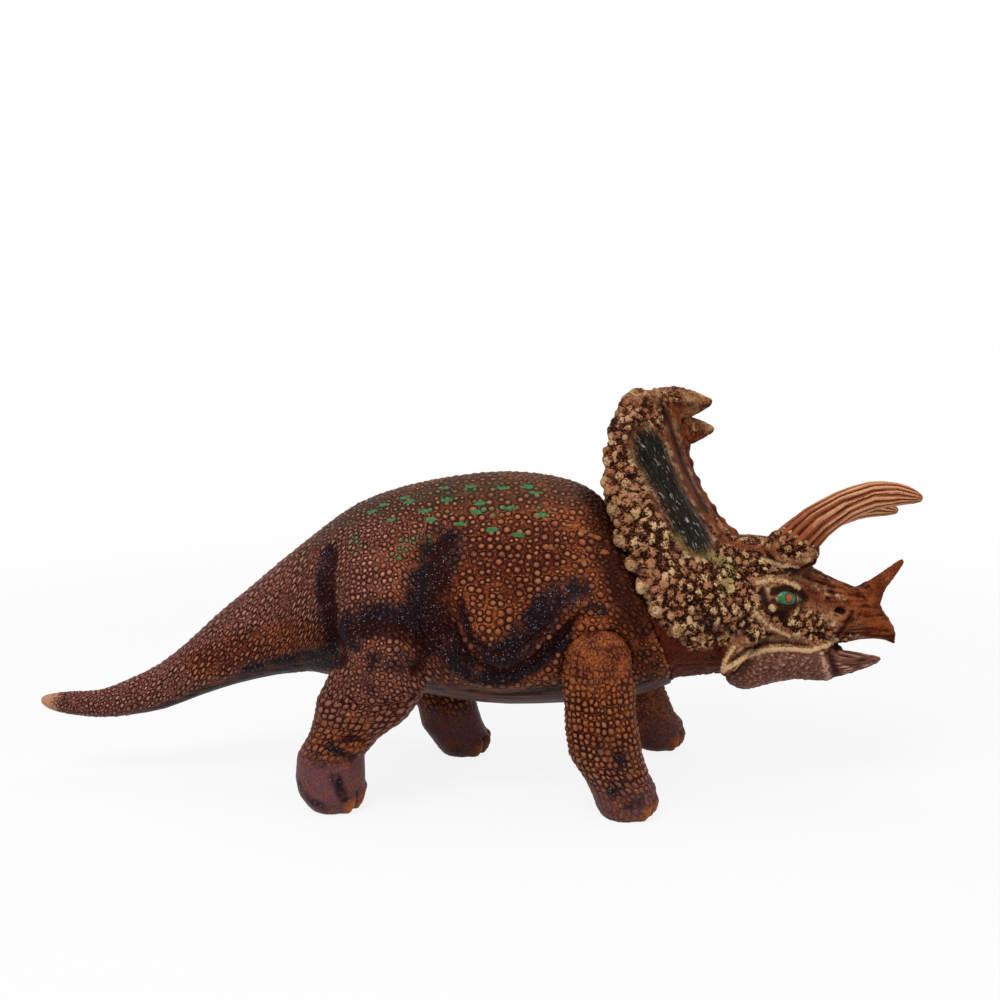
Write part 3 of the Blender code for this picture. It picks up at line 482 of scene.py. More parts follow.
def moulded(name, solids, voxel, smoothing):
    """One closed skin drawn round all the solids and smoothed."""
    joined = bmesh.new()
    for solid in solids:
        carrier = bpy.data.meshes.new(name)
        solid.to_mesh(carrier)
        solid.free()
        joined.from_mesh(carrier)
        bpy.data.meshes.remove(carrier)
    made = object_of(name, joined)
    skin = made.modifiers.new("skin", "REMESH")
    skin.mode = "VOXEL"
    skin.voxel_size = voxel
    apply_modifiers(made)
    keep_outside(made)
    smoothed = made.modifiers.new("smooth", "SMOOTH")
    smoothed.iterations = smoothing
    smoothed.factor = 0.5
    apply_modifiers(made)
    made.data.shade_smooth()
    return made


def thin(made):
    """Joins faces where the skin is flattest, until it has no more than MOST_TRIANGLES."""
    triangles = len(made.data.loops) - 2 * len(made.data.polygons)
    if triangles > MOST_TRIANGLES:
        made.modifiers.new("thin", "DECIMATE").ratio = MOST_TRIANGLES / triangles
        apply_modifiers(made)
        made.data.shade_smooth()


class Skin:
    """A skin while it is shaped and painted with lines drawn on it."""

    def __init__(self, made, mirror):
        self.made = made
        self.mirror = mirror
        self.paints = {}
        self.refresh()

    def refresh(self):
        """Reads the mesh's places and normals again."""
        mesh = self.made.data
        flat = np.empty(len(mesh.vertices) * 3)
        mesh.vertices.foreach_get("co", flat)
        self.places = flat.reshape(-1, 3).copy()
        mesh.vertices.foreach_get("normal", flat)
        self.normals = flat.reshape(-1, 3).copy()
        bpy.context.view_layer.update()
        self.tree = BVHTree.FromObject(self.made, bpy.context.evaluated_depsgraph_get())

    def write(self):
        self.made.data.vertices.foreach_set("co", self.places.ravel())
        self.made.data.update()
        self.refresh()

    def under(self, pixel):
        """The place on the skin that shows at a pixel, or the nearest one where the pixel is beside it."""
        ray = photo_ray(*pixel)
        hit = self.tree.ray_cast(CAMERA_PLACE, ray)[0]
        if hit is None:
            hit = self.tree.find_nearest(CAMERA_PLACE - ray * (CAMERA_PLACE.y / ray.y))[0]
        return hit

    def trace(self, pixels, both=True):
        """Places along a line through pixels, and their mirror images on the other side."""
        found = []
        for (x0, y0), (x1, y1) in zip(pixels, pixels[1:]):
            steps = max(1, int(math.hypot(x1 - x0, y1 - y0) / TRACE_STEP))
            for step in range(steps + 1):
                share = step / steps
                found.append(self.under((x0 + (x1 - x0) * share, y0 + (y1 - y0) * share)))
        if both:
            found += [self.mirror(place) for place in found]
        return found

    def closeness(self, line, width):
        """1 on the line, falling smoothly to 0 at width from it."""
        line = np.array([tuple(place) for place in line])
        found = np.zeros(len(self.places))
        near = np.flatnonzero(((self.places > line.min(0) - width) & (self.places < line.max(0) + width)).all(1))
        gap = np.full(len(near), np.inf)
        for place in line:
            gap = np.minimum(gap, ((self.places[near] - place) ** 2).sum(1))
        share = np.clip(1 - np.sqrt(gap) / width, 0, 1)
        found[near] = share * share * (3 - 2 * share)
        return found

    def push(self, line, width, height):
        """Raises the skin along a line, or cuts it where height is negative, which leaves dark wash in the cut: the
        paint pooled there, and painted shade of the crease as well.
        """
        close = self.closeness(line, width)
        self.places += self.normals * (close * height)[:, None]
        if height < 0:
            self.field("wash", ramp(close, 0.35, 0.95) * min(1, -height / (0.8 * MM)))

    def paint(self, name, line, width, strength=1.0):
        """Adds to a paint layer along a line."""
        self.field(name, self.closeness(line, width) * strength)

    def spot(self, name, centre, half_length, half_width):
        """Paints an oval spot, long along X. Its field is over 0.5 inside."""
        gap = self.places - np.array(tuple(centre))
        reach = np.sqrt((gap[:, 0] / half_length) ** 2 + (gap[:, 1] ** 2 + gap[:, 2] ** 2) / half_width ** 2)
        self.field(name, np.clip(1 - reach / 2, 0, 1))

    def field(self, name, values):
        """Adds an array to a paint layer."""
        self.paints[name] = np.maximum(self.paints.get(name, 0), values)

    def store(self, names):
        """Writes the paint layers as attributes; one that was never painted is 0."""
        for name in names:
            values = np.zeros(len(self.places), np.float32)
            values += self.paints.get(name, 0)
            self.made.data.attributes.new(name, "FLOAT", "POINT").data.foreach_set("value", values)

    def store_place(self, name, across, along):
        """Writes a flat place on the skin, in scales, that a pattern is drawn at."""
        flat = np.stack((across, along, np.zeros(len(across))), 1).astype(np.float32)
        self.made.data.attributes.new(name, "FLOAT_VECTOR", "POINT").data.foreach_set("vector", flat.ravel())


def ramp(values, low, high):
    """0 below low, 1 above high, and smooth between."""
    share = np.clip((values - low) / (high - low), 0, 1)
    return share * share * (3 - 2 * share)


def store_barrel(skin):
    """Rolls trunk and tail out flat: along the body, and round it from the spine."""
    x, y, z = skin.places.T / MM
    place, middle, radius, spacing = np.array(BARREL).T
    fine = np.linspace(place[0], place[-1], 400)
    count = np.concatenate(([0], np.cumsum(np.diff(fine) / np.interp(fine[1:], place, spacing))))
    angle = np.arctan2(y, z - np.interp(x, place, middle))
    size = np.interp(x, place, radius)
    side = np.minimum(np.abs(angle), math.pi / 2) * size
    drop = np.maximum(np.interp(x, place, middle) - z, 0)
    around = np.sign(y) * (side + drop) / np.interp(x, place, spacing)
    skin.store_place("barrel_place", np.interp(x, fine, count), around)


def store_limb(skin, line, stride, spread, side):
    """Rolls a leg out flat, with its seam on the inner side."""
    x, y, z = skin.places.T / MM
    height, place, share = np.array(line).T
    gap = x - np.interp(z, height, place) - np.interp(z, height, share) * stride / MM
    angle = np.arctan2(gap, side * y - spread)
    return angle * LIMB_RADIUS / LIMB_SPACING, z / LIMB_SPACING


def pebbles(tree, place):
    """Round scales of many sizes: how far out a point is, 1 at a scale's rim, and each scale's chance."""
    options = {"voronoi_dimensions": "2D"}
    sockets = {"Vector": place, "Scale": 1.0, "Randomness": 0.55}
    middle = add(tree, "TexVoronoi", sockets, feature="F1", **options)
    room = add(tree, "TexVoronoi", sockets, feature="N_SPHERE_RADIUS", **options)
    out = add(tree, "Math", {0: middle.outputs["Distance"], 1: room.outputs["Radius"]}, operation="DIVIDE")
    return out, add(tree, "SeparateXYZ", {0: middle.outputs["Color"]})


def hide_pattern(tree, worn):
    """Scales rolled out on the trunk and on the legs. Gives how far out a point is in its scale, and the chance."""
    trunk, trunk_chance = pebbles(tree, worn["barrel_place"])
    # On the legs they lie close together like cobbles, with little ground between them
    limb = pebbles(tree, worn["limb_place"])[0]
    crease = add(
        tree, "TexVoronoi", {"Vector": worn["limb_place"], "Scale": 1.0, "Randomness": 0.55},
        voronoi_dimensions="2D", feature="DISTANCE_TO_EDGE"
    )
    cobble = add(tree, "MapRange", {0: crease, 1: 0.0, 2: 0.40, 3: 0.96, 4: 0.05})
    limb = add(tree, "Mix", {"Factor": 0.55, "A": limb, "B": cobble}, data_type="FLOAT")
    out = add(tree, "Mix", {"Factor": worn["limb"], "A": trunk, "B": limb}, data_type="FLOAT")
    return out, trunk_chance


def hide_height(tree, worn, out):
    """Height of the hide, from 0 in the ring round a scale to 1 on its top, with low ground between the rings."""
    dome = add(tree, "MapRange", {0: out, 1: 0.98, 2: 0.25}, **SMOOTH)
    ground = add(tree, "MapRange", {0: out, 1: 0.98, 2: 1.35, 3: 0, 4: 0.42}, **SMOOTH)
    both = add(tree, "Math", {0: dome, 1: ground}, operation="MAXIMUM")
    return add(tree, "Math", {0: both, 1: worn["relief"]}, operation="MULTIPLY")


def emboss(made):
    """Raises the scales in the mesh itself and keeps the soles on the floor."""
    tree = bpy.data.node_groups.new(f"{made.name}_scales", "GeometryNodeTree")
    tree.interface.new_socket("Geometry", in_out="INPUT", socket_type="NodeSocketGeometry")
    tree.interface.new_socket("Geometry", in_out="OUTPUT", socket_type="NodeSocketGeometry")
    start = add(tree, "NodeGroupInput")
    worn = read_layers(tree, HIDE_LAYERS + FLAT_PLACES)
    field = hide_height(tree, worn, hide_pattern(tree, worn)[0])
    raised = add(tree, "Math", {0: field, 1: settings()[0].relief}, operation="MULTIPLY")
    normal = add(tree, "GeometryNodeInputNormal")
    offset = add(tree, "VectorMath", {0: normal, "Scale": raised}, operation="SCALE")
    moved = add(tree, "GeometryNodeSetPosition", {"Geometry": start, "Offset": offset})
    add(tree, "NodeGroupOutput", {"Geometry": moved})
    step = made.modifiers.new("scales", "NODES")
    step.node_group = tree
    apply_modifiers(made)
    rest_on_floor(made)


def rest_on_floor(made):
    flat = np.empty(len(made.data.vertices) * 3)
    made.data.vertices.foreach_get("co", flat)
    places = flat.reshape(-1, 3)
    places[:, 2] = np.maximum(places[:, 2], 0)
    made.data.vertices.foreach_set("co", places.ravel())
    made.data.update()
    made.data.shade_smooth()


def start_material(name, layers=()):
    """A material's node tree, shader, Object coordinates, layers and noises: broad, middling and fine."""
    made = bpy.data.materials.new(name)
    made.use_nodes = True
    tree = made.node_tree
    place = add(tree, "TexCoord").outputs["Object"]
    noises = [
        add(tree, "TexNoise", {"Vector": place, "Scale": 1 / (size * MM), "Detail": detail})
        for size, detail in ((26, 4), (4.5, 5), (0.65, 4))
    ]
    return made, tree, tree.nodes["Principled BSDF"], place, read_layers(tree, layers), noises


def finish_shader(tree, shader, base, roughness, height, depth, shine):
    """Joins colour, roughness and bump to the shader; depth is the bump's height in metres."""
    tree.links.new(next(found for found in base.outputs if found.enabled), shader.inputs["Base Color"])
    tree.links.new(next(found for found in roughness.outputs if found.enabled), shader.inputs["Roughness"])
    bump = add(tree, "Bump", {"Height": height, "Distance": depth, "Strength": 1.0})
    tree.links.new(bump.outputs["Normal"], shader.inputs["Normal"])
    shader.inputs["Specular IOR Level"].default_value = shine


def painted_hide():
    """Soft vinyl, cast and spray-painted: satin orange-brown with a dark wash left in a ring round every scale."""
    hide = settings()[0]
    made, tree, shader, place, worn, (broad, mottle, fine) = start_material(
        "sprayed_soft_vinyl_hide", HIDE_LAYERS + FLAT_PLACES
    )
    out, chance = hide_pattern(tree, worn)
    raised = hide_height(tree, worn, out)

    patch = add(tree, "MapRange", {0: broad, 1: 0.40, 2: 0.60}, **SMOOTH)
    ground = add(tree, "Mix", {"Factor": patch, "A": hide.ground, "B": hide.ruddy}, **PAINT)
    blotch = add(tree, "MapRange", {0: mottle, 1: 0.36, 2: 0.62}, **SMOOTH)
    limb = add(tree, "Mix", {"Factor": blotch, "A": hide.limb, "B": hide.ruddy}, **PAINT)
    ground = add(tree, "Mix", {"Factor": worn["limb"], "A": ground, "B": limb}, **PAINT)
    tone = add(tree, "Math", {0: worn["purple"], 1: 0.85}, operation="MULTIPLY")
    ground = add(tree, "Mix", {"Factor": tone, "A": ground, "B": hide.purple}, **PAINT)
    grained = add(tree, "MapRange", {0: fine, 1: 0.36, 2: 0.60, 3: 0.70, 4: 0}, **SMOOTH)
    ground = add(tree, "Mix", {"Factor": grained, "A": ground, "B": hide.groove}, **PAINT)

    # Tops rubbed lighter, more in some places than in others, with fine specks of painted highlight on them
    top = add(tree, "Mix", {"Factor": tone, "A": hide.top, "B": hide.tail_top}, **PAINT)
    lit = add(tree, "MapRange", {0: out, 1: 0.80, 2: 0.30}, **SMOOTH)
    rubbed = add(tree, "MapRange", {0: mottle, 1: 0.34, 2: 0.64, 3: 0.22, 4: 0.90}, **SMOOTH)
    lit = add(tree, "Math", {0: lit, 1: rubbed}, operation="MULTIPLY")
    lit = add(tree, "Math", {0: lit, 1: worn["relief"]}, operation="MULTIPLY")
    dull = add(tree, "MapRange", {0: worn["limb"], 1: 0.0, 2: 1.0, 3: 1.0, 4: 0.80})
    lit = add(tree, "Math", {0: lit, 1: dull}, operation="MULTIPLY")
    spark = add(tree, "MapRange", {0: fine, 1: 0.54, 2: 0.74, 3: 0, 4: 0.7}, **SMOOTH)
    lit = add(tree, "Math", {0: lit, 1: spark}, operation="MAXIMUM")
    scales = add(tree, "Mix", {"Factor": lit, "A": ground, "B": top}, **PAINT)
    scales = add(tree, "Mix", {"Factor": worn["tip"], "A": scales, "B": hide.tip}, **PAINT)
    tinge = add(tree, "Math", {0: worn["moss"], 1: chance}, operation="MULTIPLY")
    tinge = add(tree, "MapRange", {0: tinge, 1: 0.38, 2: 0.62}, **SMOOTH)
    capped = add(tree, "MapRange", {0: out, 1: 0.95, 2: 0.60, 3: 0.1, 4: 0.75}, **SMOOTH)
    tinge = add(tree, "Math", {0: tinge, 1: capped}, operation="MULTIPLY")
    scales = add(tree, "Mix", {"Factor": tinge, "A": scales, "B": hide.green}, **PAINT)

    # Wash in the ring round each scale
    ring = add(tree, "MapRange", {0: out, 1: 0.72, 2: 0.90}, **SMOOTH)
    past = add(tree, "MapRange", {0: out, 1: 1.34, 2: 1.08}, **SMOOTH)
    ring = add(tree, "Math", {0: ring, 1: past}, operation="MULTIPLY")
    thin = add(tree, "MapRange", {0: mottle, 1: 0.25, 2: 0.50, 3: 0.45, 4: 1.0}, **SMOOTH)
    ring = add(tree, "Math", {0: ring, 1: thin}, operation="MULTIPLY")
    shown = add(tree, "MapRange", {0: worn["relief"], 1: 0.05, 2: 0.60}, **SMOOTH)
    ring = add(tree, "Math", {0: ring, 1: shown}, operation="MULTIPLY")
    scales = add(tree, "Mix", {"Factor": ring, "A": scales, "B": hide.groove}, **PAINT)

    # Broad paints
    grain = add(tree, "Mapping", {"Vector": place, "Scale": (0.10, 1.0, 1.0)})
    grain = add(tree, "TexNoise", {"Vector": grain, "Scale": 1 / (1.6 * MM), "Detail": 4, "Distortion": 0.8})
    streak = add(tree, "MapRange", {0: grain, 1: 0.38, 2: 0.68}, **SMOOTH)
    belly = add(tree, "Mix", {"Factor": streak, "A": hide.belly, "B": hide.belly_streak}, **PAINT)
    bare = add(tree, "Math", {0: lit, 1: -0.6, 2: 1.0}, operation="MULTIPLY_ADD")
    worn["back"] = add(tree, "Math", {0: worn["back"], 1: bare}, operation="MULTIPLY")
    done = scales
    # The wash layer carries painted shade in cuts and hollows as well as the dark wash
    for name, paint, low, high, most in (
        ("belly", belly, 0.10, 0.80, 1.0), ("foot", hide.foot, 0.15, 0.95, 0.75), ("back", hide.back, 0.15, 0.95, 0.72),
        ("airbrush", hide.airbrush, 0.12, 0.70, 0.97), ("wash", hide.groove, 0.10, 0.75, 0.88),
        ("toes", hide.toes, 0.15, 0.90, 0.90),
    ):
        share = add(tree, "Math", {0: mottle, 1: 2.2, 2: -1.1}, operation="MULTIPLY_ADD")
        share = add(tree, "Math", {0: fine, 1: 1.8, 2: share}, operation="MULTIPLY_ADD")
        share = add(tree, "Math", {0: share, 1: worn[name]}, operation="MULTIPLY")
        share = add(tree, "MapRange", {0: share, 1: low, 2: high, 3: 0, 4: most}, **SMOOTH)
        done = add(tree, "Mix", {"Factor": share, "A": done, "B": paint}, **PAINT)
    ragged = add(tree, "Math", {0: fine, 1: 1.0, 2: -0.55}, operation="MULTIPLY_ADD")
    ragged = add(tree, "Math", {0: ring, 1: -0.10, 2: ragged}, operation="MULTIPLY_ADD")
    for name, paint in (("scute", hide.scute), ("green", hide.green)):
        share = add(tree, "Math", {0: worn[name], 1: ragged}, operation="ADD")
        share = add(tree, "MapRange", {0: share, 1: 0.46, 2: 0.56, 3: 0, 4: 0.85}, **SMOOTH)
        done = add(tree, "Mix", {"Factor": share, "A": done, "B": paint}, **PAINT)

    # Specks of dust and of painted sheen on the dark paint, with fine grains of painted highlight where it is
    # airbrushed
    speck = add(tree, "TexVoronoi", {"Vector": place, "Scale": 1 / (0.9 * MM), "Randomness": 1.0}, feature="F1")
    some = add(tree, "SeparateXYZ", {0: speck.outputs["Color"]})
    often = add(tree, "MapRange", {0: worn["airbrush"], 1: 0.2, 2: 0.8, 3: 0.04, 4: 0.80})
    size = add(tree, "Math", {0: some.outputs["Y"], 1: 0.12, 2: 0.07}, operation="MULTIPLY_ADD")
    close = add(tree, "Math", {0: speck.outputs["Distance"], 1: size}, operation="LESS_THAN")
    some = add(tree, "Math", {0: some, 1: often}, operation="LESS_THAN")
    dust_and_sheen = add(tree, "Math", {0: close, 1: some}, operation="MULTIPLY")
    painted_sheen = add(tree, "MapRange", {0: fine, 1: 0.60, 2: 0.72}, **SMOOTH)
    painted_sheen = add(tree, "Math", {0: painted_sheen, 1: worn["airbrush"]}, operation="MULTIPLY")
    dust_and_sheen = add(tree, "Math", {0: painted_sheen, 1: 0.5, 2: dust_and_sheen}, operation="MULTIPLY_ADD", use_clamp=True)
    dust_and_sheen = add(tree, "Math", {0: dust_and_sheen, 1: 0.65}, operation="MULTIPLY")
    done = add(tree, "Mix", {"Factor": dust_and_sheen, "A": done, "B": hide.dust_and_sheen}, **PAINT)

    rough = add(tree, "MapRange", {0: fine, 3: 0.30, 4: 0.55})
    height = add(tree, "Math", {0: fine, 1: 0.45, 2: raised}, operation="MULTIPLY_ADD")
    height = add(tree, "Math", {0: grain, 1: worn["belly"], 2: height}, operation="MULTIPLY_ADD")
    finish_shader(tree, shader, done, rough, height, 0.40 * MM, 0.05)
    return made


def painted_mask():
    """The same vinyl with cream paint dry-brushed over a dark wash, so that only the high spots are pale."""
    hide, mask, _ = settings()
    made, tree, shader, place, worn, (broad, mottle, fine) = start_material(
        "dry_brushed_soft_vinyl_mask", HEAD_LAYERS
    )
    calm = add(tree, "MapRange", {0: worn["smooth"], 1: 0.0, 2: 1.0, 3: 1.0, 4: 0.3})
    rubbed = add(tree, "Math", {0: fine, 1: 3.0, 2: -1.54}, operation="MULTIPLY_ADD")
    rubbed = add(tree, "Math", {0: rubbed, 1: calm, 2: worn["knob"]}, operation="MULTIPLY_ADD")
    rubbed = add(tree, "Math", {0: mottle, 1: 0.7, 2: rubbed}, operation="MULTIPLY_ADD")
    rubbed = add(tree, "Math", {0: rubbed, 1: 0.35}, operation="SUBTRACT")
    flank = add(tree, "MapRange", {0: rubbed, 1: -0.02, 2: 0.34}, **SMOOTH)
    crown = add(tree, "MapRange", {0: rubbed, 1: 0.28, 2: 0.82}, **SMOOTH)
    pale = add(tree, "MapRange", {0: worn["tint"], 1: 0.25, 2: 0.80}, **SMOOTH)
    pale = add(tree, "Mix", {"Factor": pale, "A": mask.pink, "B": mask.cream}, **PAINT)
    done = add(tree, "Mix", {"Factor": flank, "A": mask.dark, "B": mask.tan}, **PAINT)
    done = add(tree, "Mix", {"Factor": crown, "A": done, "B": pale}, **PAINT)
    tinge = add(tree, "Math", {0: flank, 1: worn["moss"]}, operation="MULTIPLY")
    done = add(tree, "Mix", {"Factor": tinge, "A": done, "B": mask.moss}, **PAINT)
    brown = add(tree, "Mix", {"Factor": flank, "A": mask.dark, "B": mask.brown}, **PAINT)
    brown = add(tree, "Mix", {"Factor": crown, "A": brown, "B": mask.rubbed}, **PAINT)
    done = add(tree, "Mix", {"Factor": worn["brown"], "A": done, "B": brown}, **PAINT)
    neck = add(tree, "Mix", {"Factor": flank, "A": hide.groove, "B": hide.ruddy}, **PAINT)
    neck = add(tree, "Mix", {"Factor": crown, "A": neck, "B": mask.brown}, **PAINT)
    done = add(tree, "Mix", {"Factor": worn["neck"], "A": done, "B": neck}, **PAINT)
    # The wash layer carries painted shade in cuts and inside the mouth as well as the dark wash
    for name, paint, low, high, most in (
        ("gloss", mask.gloss, 0.08, 0.42, 0.97), ("bruise", hide.airbrush, 0.15, 0.70, 0.80),
        ("wash", mask.dark, 0.08, 0.45, 0.95), ("cream", mask.cream, 0.14, 0.50, 0.90),
    ):
        share = add(tree, "Math", {0: fine, 1: 1.2, 2: -0.05}, operation="MULTIPLY_ADD")
        share = add(tree, "Math", {0: share, 1: worn[name]}, operation="MULTIPLY")
        share = add(tree, "MapRange", {0: share, 1: low, 2: high, 3: 0, 4: most}, **SMOOTH)
        done = add(tree, "Mix", {"Factor": share, "A": done, "B": paint}, **PAINT)
    # Painted highlights: short streaks of light along the glossy band
    along = add(
        tree, "Mapping", {"Vector": place, "Rotation": (0, BAND_SLOPE, 0), "Scale": (5, 1, 1)}, vector_type="TEXTURE"
    )
    along = add(tree, "TexNoise", {"Vector": along, "Scale": 1 / (0.8 * MM), "Detail": 3})
    glint = add(tree, "MapRange", {0: along, 1: 0.60, 2: 0.70, 3: 0, 4: 0.55}, **SMOOTH)
    glint = add(tree, "Math", {0: glint, 1: worn["gloss"]}, operation="MULTIPLY")
    done = add(tree, "Mix", {"Factor": glint, "A": done, "B": hide.dust_and_sheen}, **PAINT)
    satin = add(tree, "MapRange", {0: fine, 3: 0.38, 4: 0.62})
    shiny = add(tree, "MapRange", {0: fine, 1: 0.40, 2: 0.60, 3: 0.10, 4: 0.34})
    rough = add(tree, "Mix", {"Factor": worn["gloss"], "A": satin, "B": shiny}, data_type="FLOAT")
    grain = add(tree, "TexVoronoi", {"Vector": place, "Scale": 1 / (1.3 * MM), "Randomness": 1.0}, feature="F1")
    grain = add(tree, "Math", {0: grain.outputs["Distance"], 1: -0.6}, operation="MULTIPLY")
    height = add(tree, "Math", {0: fine, 1: 0.8, 2: grain}, operation="MULTIPLY_ADD")
    height = add(tree, "Math", {0: height, 1: calm}, operation="MULTIPLY")
    finish_shader(tree, shader, done, rough, height, 0.55 * MM, 0.04)
    return made


def painted_trim(name, dark, base, light):
    """Vinyl in three tones of one colour: wash in the grooves, and ridges rubbed lighter."""
    made, tree, shader, _, worn, (_, mottle, fine) = start_material(name, ("ridge",))
    ridge = add(tree, "Math", {0: fine, 1: 0.4, 2: worn["ridge"]}, operation="MULTIPLY_ADD")
    ridge = add(tree, "Math", {0: mottle, 1: 0.4, 2: ridge}, operation="MULTIPLY_ADD")
    low = add(tree, "MapRange", {0: ridge, 1: 0.35, 2: 0.80}, **SMOOTH)
    high = add(tree, "MapRange", {0: ridge, 1: 0.85, 2: 1.35}, **SMOOTH)
    done = add(tree, "Mix", {"Factor": low, "A": dark, "B": base}, **PAINT)
    done = add(tree, "Mix", {"Factor": high, "A": done, "B": light}, **PAINT)
    rough = add(tree, "MapRange", {0: fine, 3: 0.34, 4: 0.56})
    finish_shader(tree, shader, done, rough, ridge, 0.25 * MM, 0.06)
    return made


def dress(made, material, body, slot, *nodes):
    """Gives a piece its paint and its body, and hides the CAD nodes that it stands for."""
    made.data.materials.clear()
    made.data.materials.append(material)
    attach(made, body)
    if nodes:
        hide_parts(*nodes)


def trunk_solid():
    """The trunk as one closed bulk, with the round recesses that the front legs' hubs turn in."""
    bm = cad_copy("torso_shell")
    bmesh.ops.delete(bm, geom=bm.edges, context="EDGES_FACES")
    bmesh.ops.convex_hull(bm, input=bm.verts)
    bmesh.ops.delete(bm, geom=[vert for vert in bm.verts if not vert.link_faces], context="VERTS")
    bmesh.ops.recalc_face_normals(bm, faces=bm.faces)
    bulk = object_of("trunk_bulk", bm)
    cutters = []
    for side in (-1, 1):
        depth = 30 * MM
        centre = SHOULDER + Vector((0, side * (HUB_INNER - 0.5 * MM + depth / 2), 0))
        cutter = object_of("recess", disc(centre, (0, 1, 0), HUB_RADIUS * HUB_SLIM + 0.45 * MM, depth))
        cut = bulk.modifiers.new("recess", "BOOLEAN")
        cut.operation = "DIFFERENCE"
        cut.solver = "EXACT"
        cut.object = cutter
        cutters.append(cutter)
    apply_modifiers(bulk)
    solid = bmesh.new()
    solid.from_mesh(bulk.data)
    for helper in (bulk, *cutters):
        bpy.data.objects.remove(helper)
    return solid


def make_body():
    """Trunk, tail and hind legs as one unbroken skin."""
    solids = [trunk_solid(), cad_copy("tail"), cad_copy("hind_leg_right"), cad_copy("hind_leg_left")]
    made = moulded("body_skin", solids, 0.80 * MM, 6)
    skin = Skin(made, body_mirror)
    for pixels, width, height in BODY_RELIEF:
        skin.push(skin.trace(pixels), width * MM, height * MM)
    skin.write()
    for side, stride in ((-1, 0), (1, HIND_STRIDE)):
        shape_foot(skin, Vector((-45.6 * MM + stride, side * HIND_SPREAD * MM, 0)), side)
    skin.write()
    paint_body(skin)
    skin.store(HIDE_LAYERS)
    store_barrel(skin)
    right = store_limb(skin, HIND_LINE, 0, HIND_SPREAD, -1)
    left = store_limb(skin, HIND_LINE, HIND_STRIDE, HIND_SPREAD, 1)
    near = skin.places[:, 1] < 0
    skin.store_place("limb_place", *(np.where(near, a, b + 40) for a, b in zip(right, left)))
    emboss(made)
    return made


def shape_foot(skin, sole, side):
    """Toes round the front of a foot, with dark grooves between them and orange paint on their fronts."""
    def rim(degrees, height):
        """The place where the foot's surface is met from outside at an angle and a height."""
        turn = math.radians(degrees)
        way = Vector((math.cos(turn), side * math.sin(turn), 0))
        middle = sole + Vector((0, 0, height * MM))
        hit = skin.tree.ray_cast(middle + way * 30 * MM, -way)[0]
        return hit if hit is not None and (hit - middle).length < 13 * MM else middle + way * 8 * MM

    for degrees in TOE_ANGLES:
        toe = [rim(degrees, height) for height in (1.0, 2.5, 4.0, 5.5)]
        skin.push(toe, 3.0 * MM, 0.9 * MM)
        skin.paint("toes", toe[:3], 4.2 * MM, 1.0)
    for first, second in zip(TOE_ANGLES, TOE_ANGLES[1:]):
        groove = [rim((first + second) / 2, height) for height in (0.5, 2.0, 3.5, 5.0, 6.5)]
        skin.push(groove, 1.7 * MM, -1.0 * MM)


def paint_body(skin):
    """The paint layers, as soft strokes."""
    x, y, z = skin.places.T / MM
    for pixels, width, strength in BODY_SPRAY:
        skin.paint("airbrush", skin.trace(pixels), width * MM, strength)
    middle = np.interp(x, *np.array(BARREL).T[:2])
    radius = np.interp(x, *np.array(BARREL).T[[0, 2]])
    upward = np.cos(np.arctan2(y, z - middle))
    trunk = ramp(x, -75, -40)
    skin.field("back", ramp(upward, 0.70, 0.97) * (0.35 + 0.65 * trunk))
    skin.field("tip", ramp(-x, 142, 146.5))
    for pixels, width, strength in BODY_WASH_AND_SHADE:
        skin.paint("wash", skin.trace(pixels), width * MM, strength)
    skin.field("purple", np.maximum(ramp(-x, 38, 75), 0.75 * ramp(-x, 0, 40) * ramp(z, 30, 50)))
    for pixel in GREEN_SPOTS:
        centre = skin.under(pixel)
        skin.spot("green", centre, 2.5 * MM, 1.15 * MM)
        skin.spot("green", skin.mirror(centre) + Vector((3 * MM, 0, 0)), 2.5 * MM, 1.15 * MM)
    for pixels, width, strength in MOSS_STROKES:
        skin.paint("moss", skin.trace(pixels), width * MM, strength)
    for pixel in TAN_SPOTS:
        centre = skin.under(pixel)
        skin.spot("scute", centre, 2.4 * MM, 1.05 * MM)
        skin.spot("scute", skin.mirror(centre), 2.4 * MM, 1.05 * MM)
    legs = ramp(-z, -44, -36)
    skin.field("limb", legs * ramp(x, -66, -60))
    skin.field("belly", ramp(-upward, 0.62, 0.92) * ramp(x, -34, -8) * ramp(z, 25, 29))
    skin.field("belly", ramp(-upward, 0.50, 0.85) * ramp(-x, 58, 68) * ramp(x, -128, -110))
    leg_hide = 0.20 + 0.80 * ramp(z, 14, 24) * (1 - 0.55 * ramp(z, 40, 50))
    skin.field("relief", np.where(z < 42, leg_hide, 1) * ramp(-skin.paints["belly"], -0.8, -0.2))
    sprayed = ramp(skin.paints["airbrush"], 0.3, 1.0)
    thigh = ramp(-z, -62, -48) * ramp(-x, 5, 20) * ramp(x, -66, -56)
    skin.paints["relief"] *= np.where(x < -60, 0.9, 1.0) * ramp(x, -149, -143) * (1 - 0.35 * sprayed) * (1 - 0.4 * thigh)
    skin.field("purple", 0.75 * thigh * ramp(z, 20, 42))
    warm = skin.closeness(skin.trace(((200, 664), (250, 646), (290, 636), (332, 636))), 9 * MM)
    skin.paints["purple"] *= 1 - 0.85 * ramp(warm, 0, 0.7)
    skin.field("foot", ramp(-z, -25, -13) * ramp(x, -66, -60))


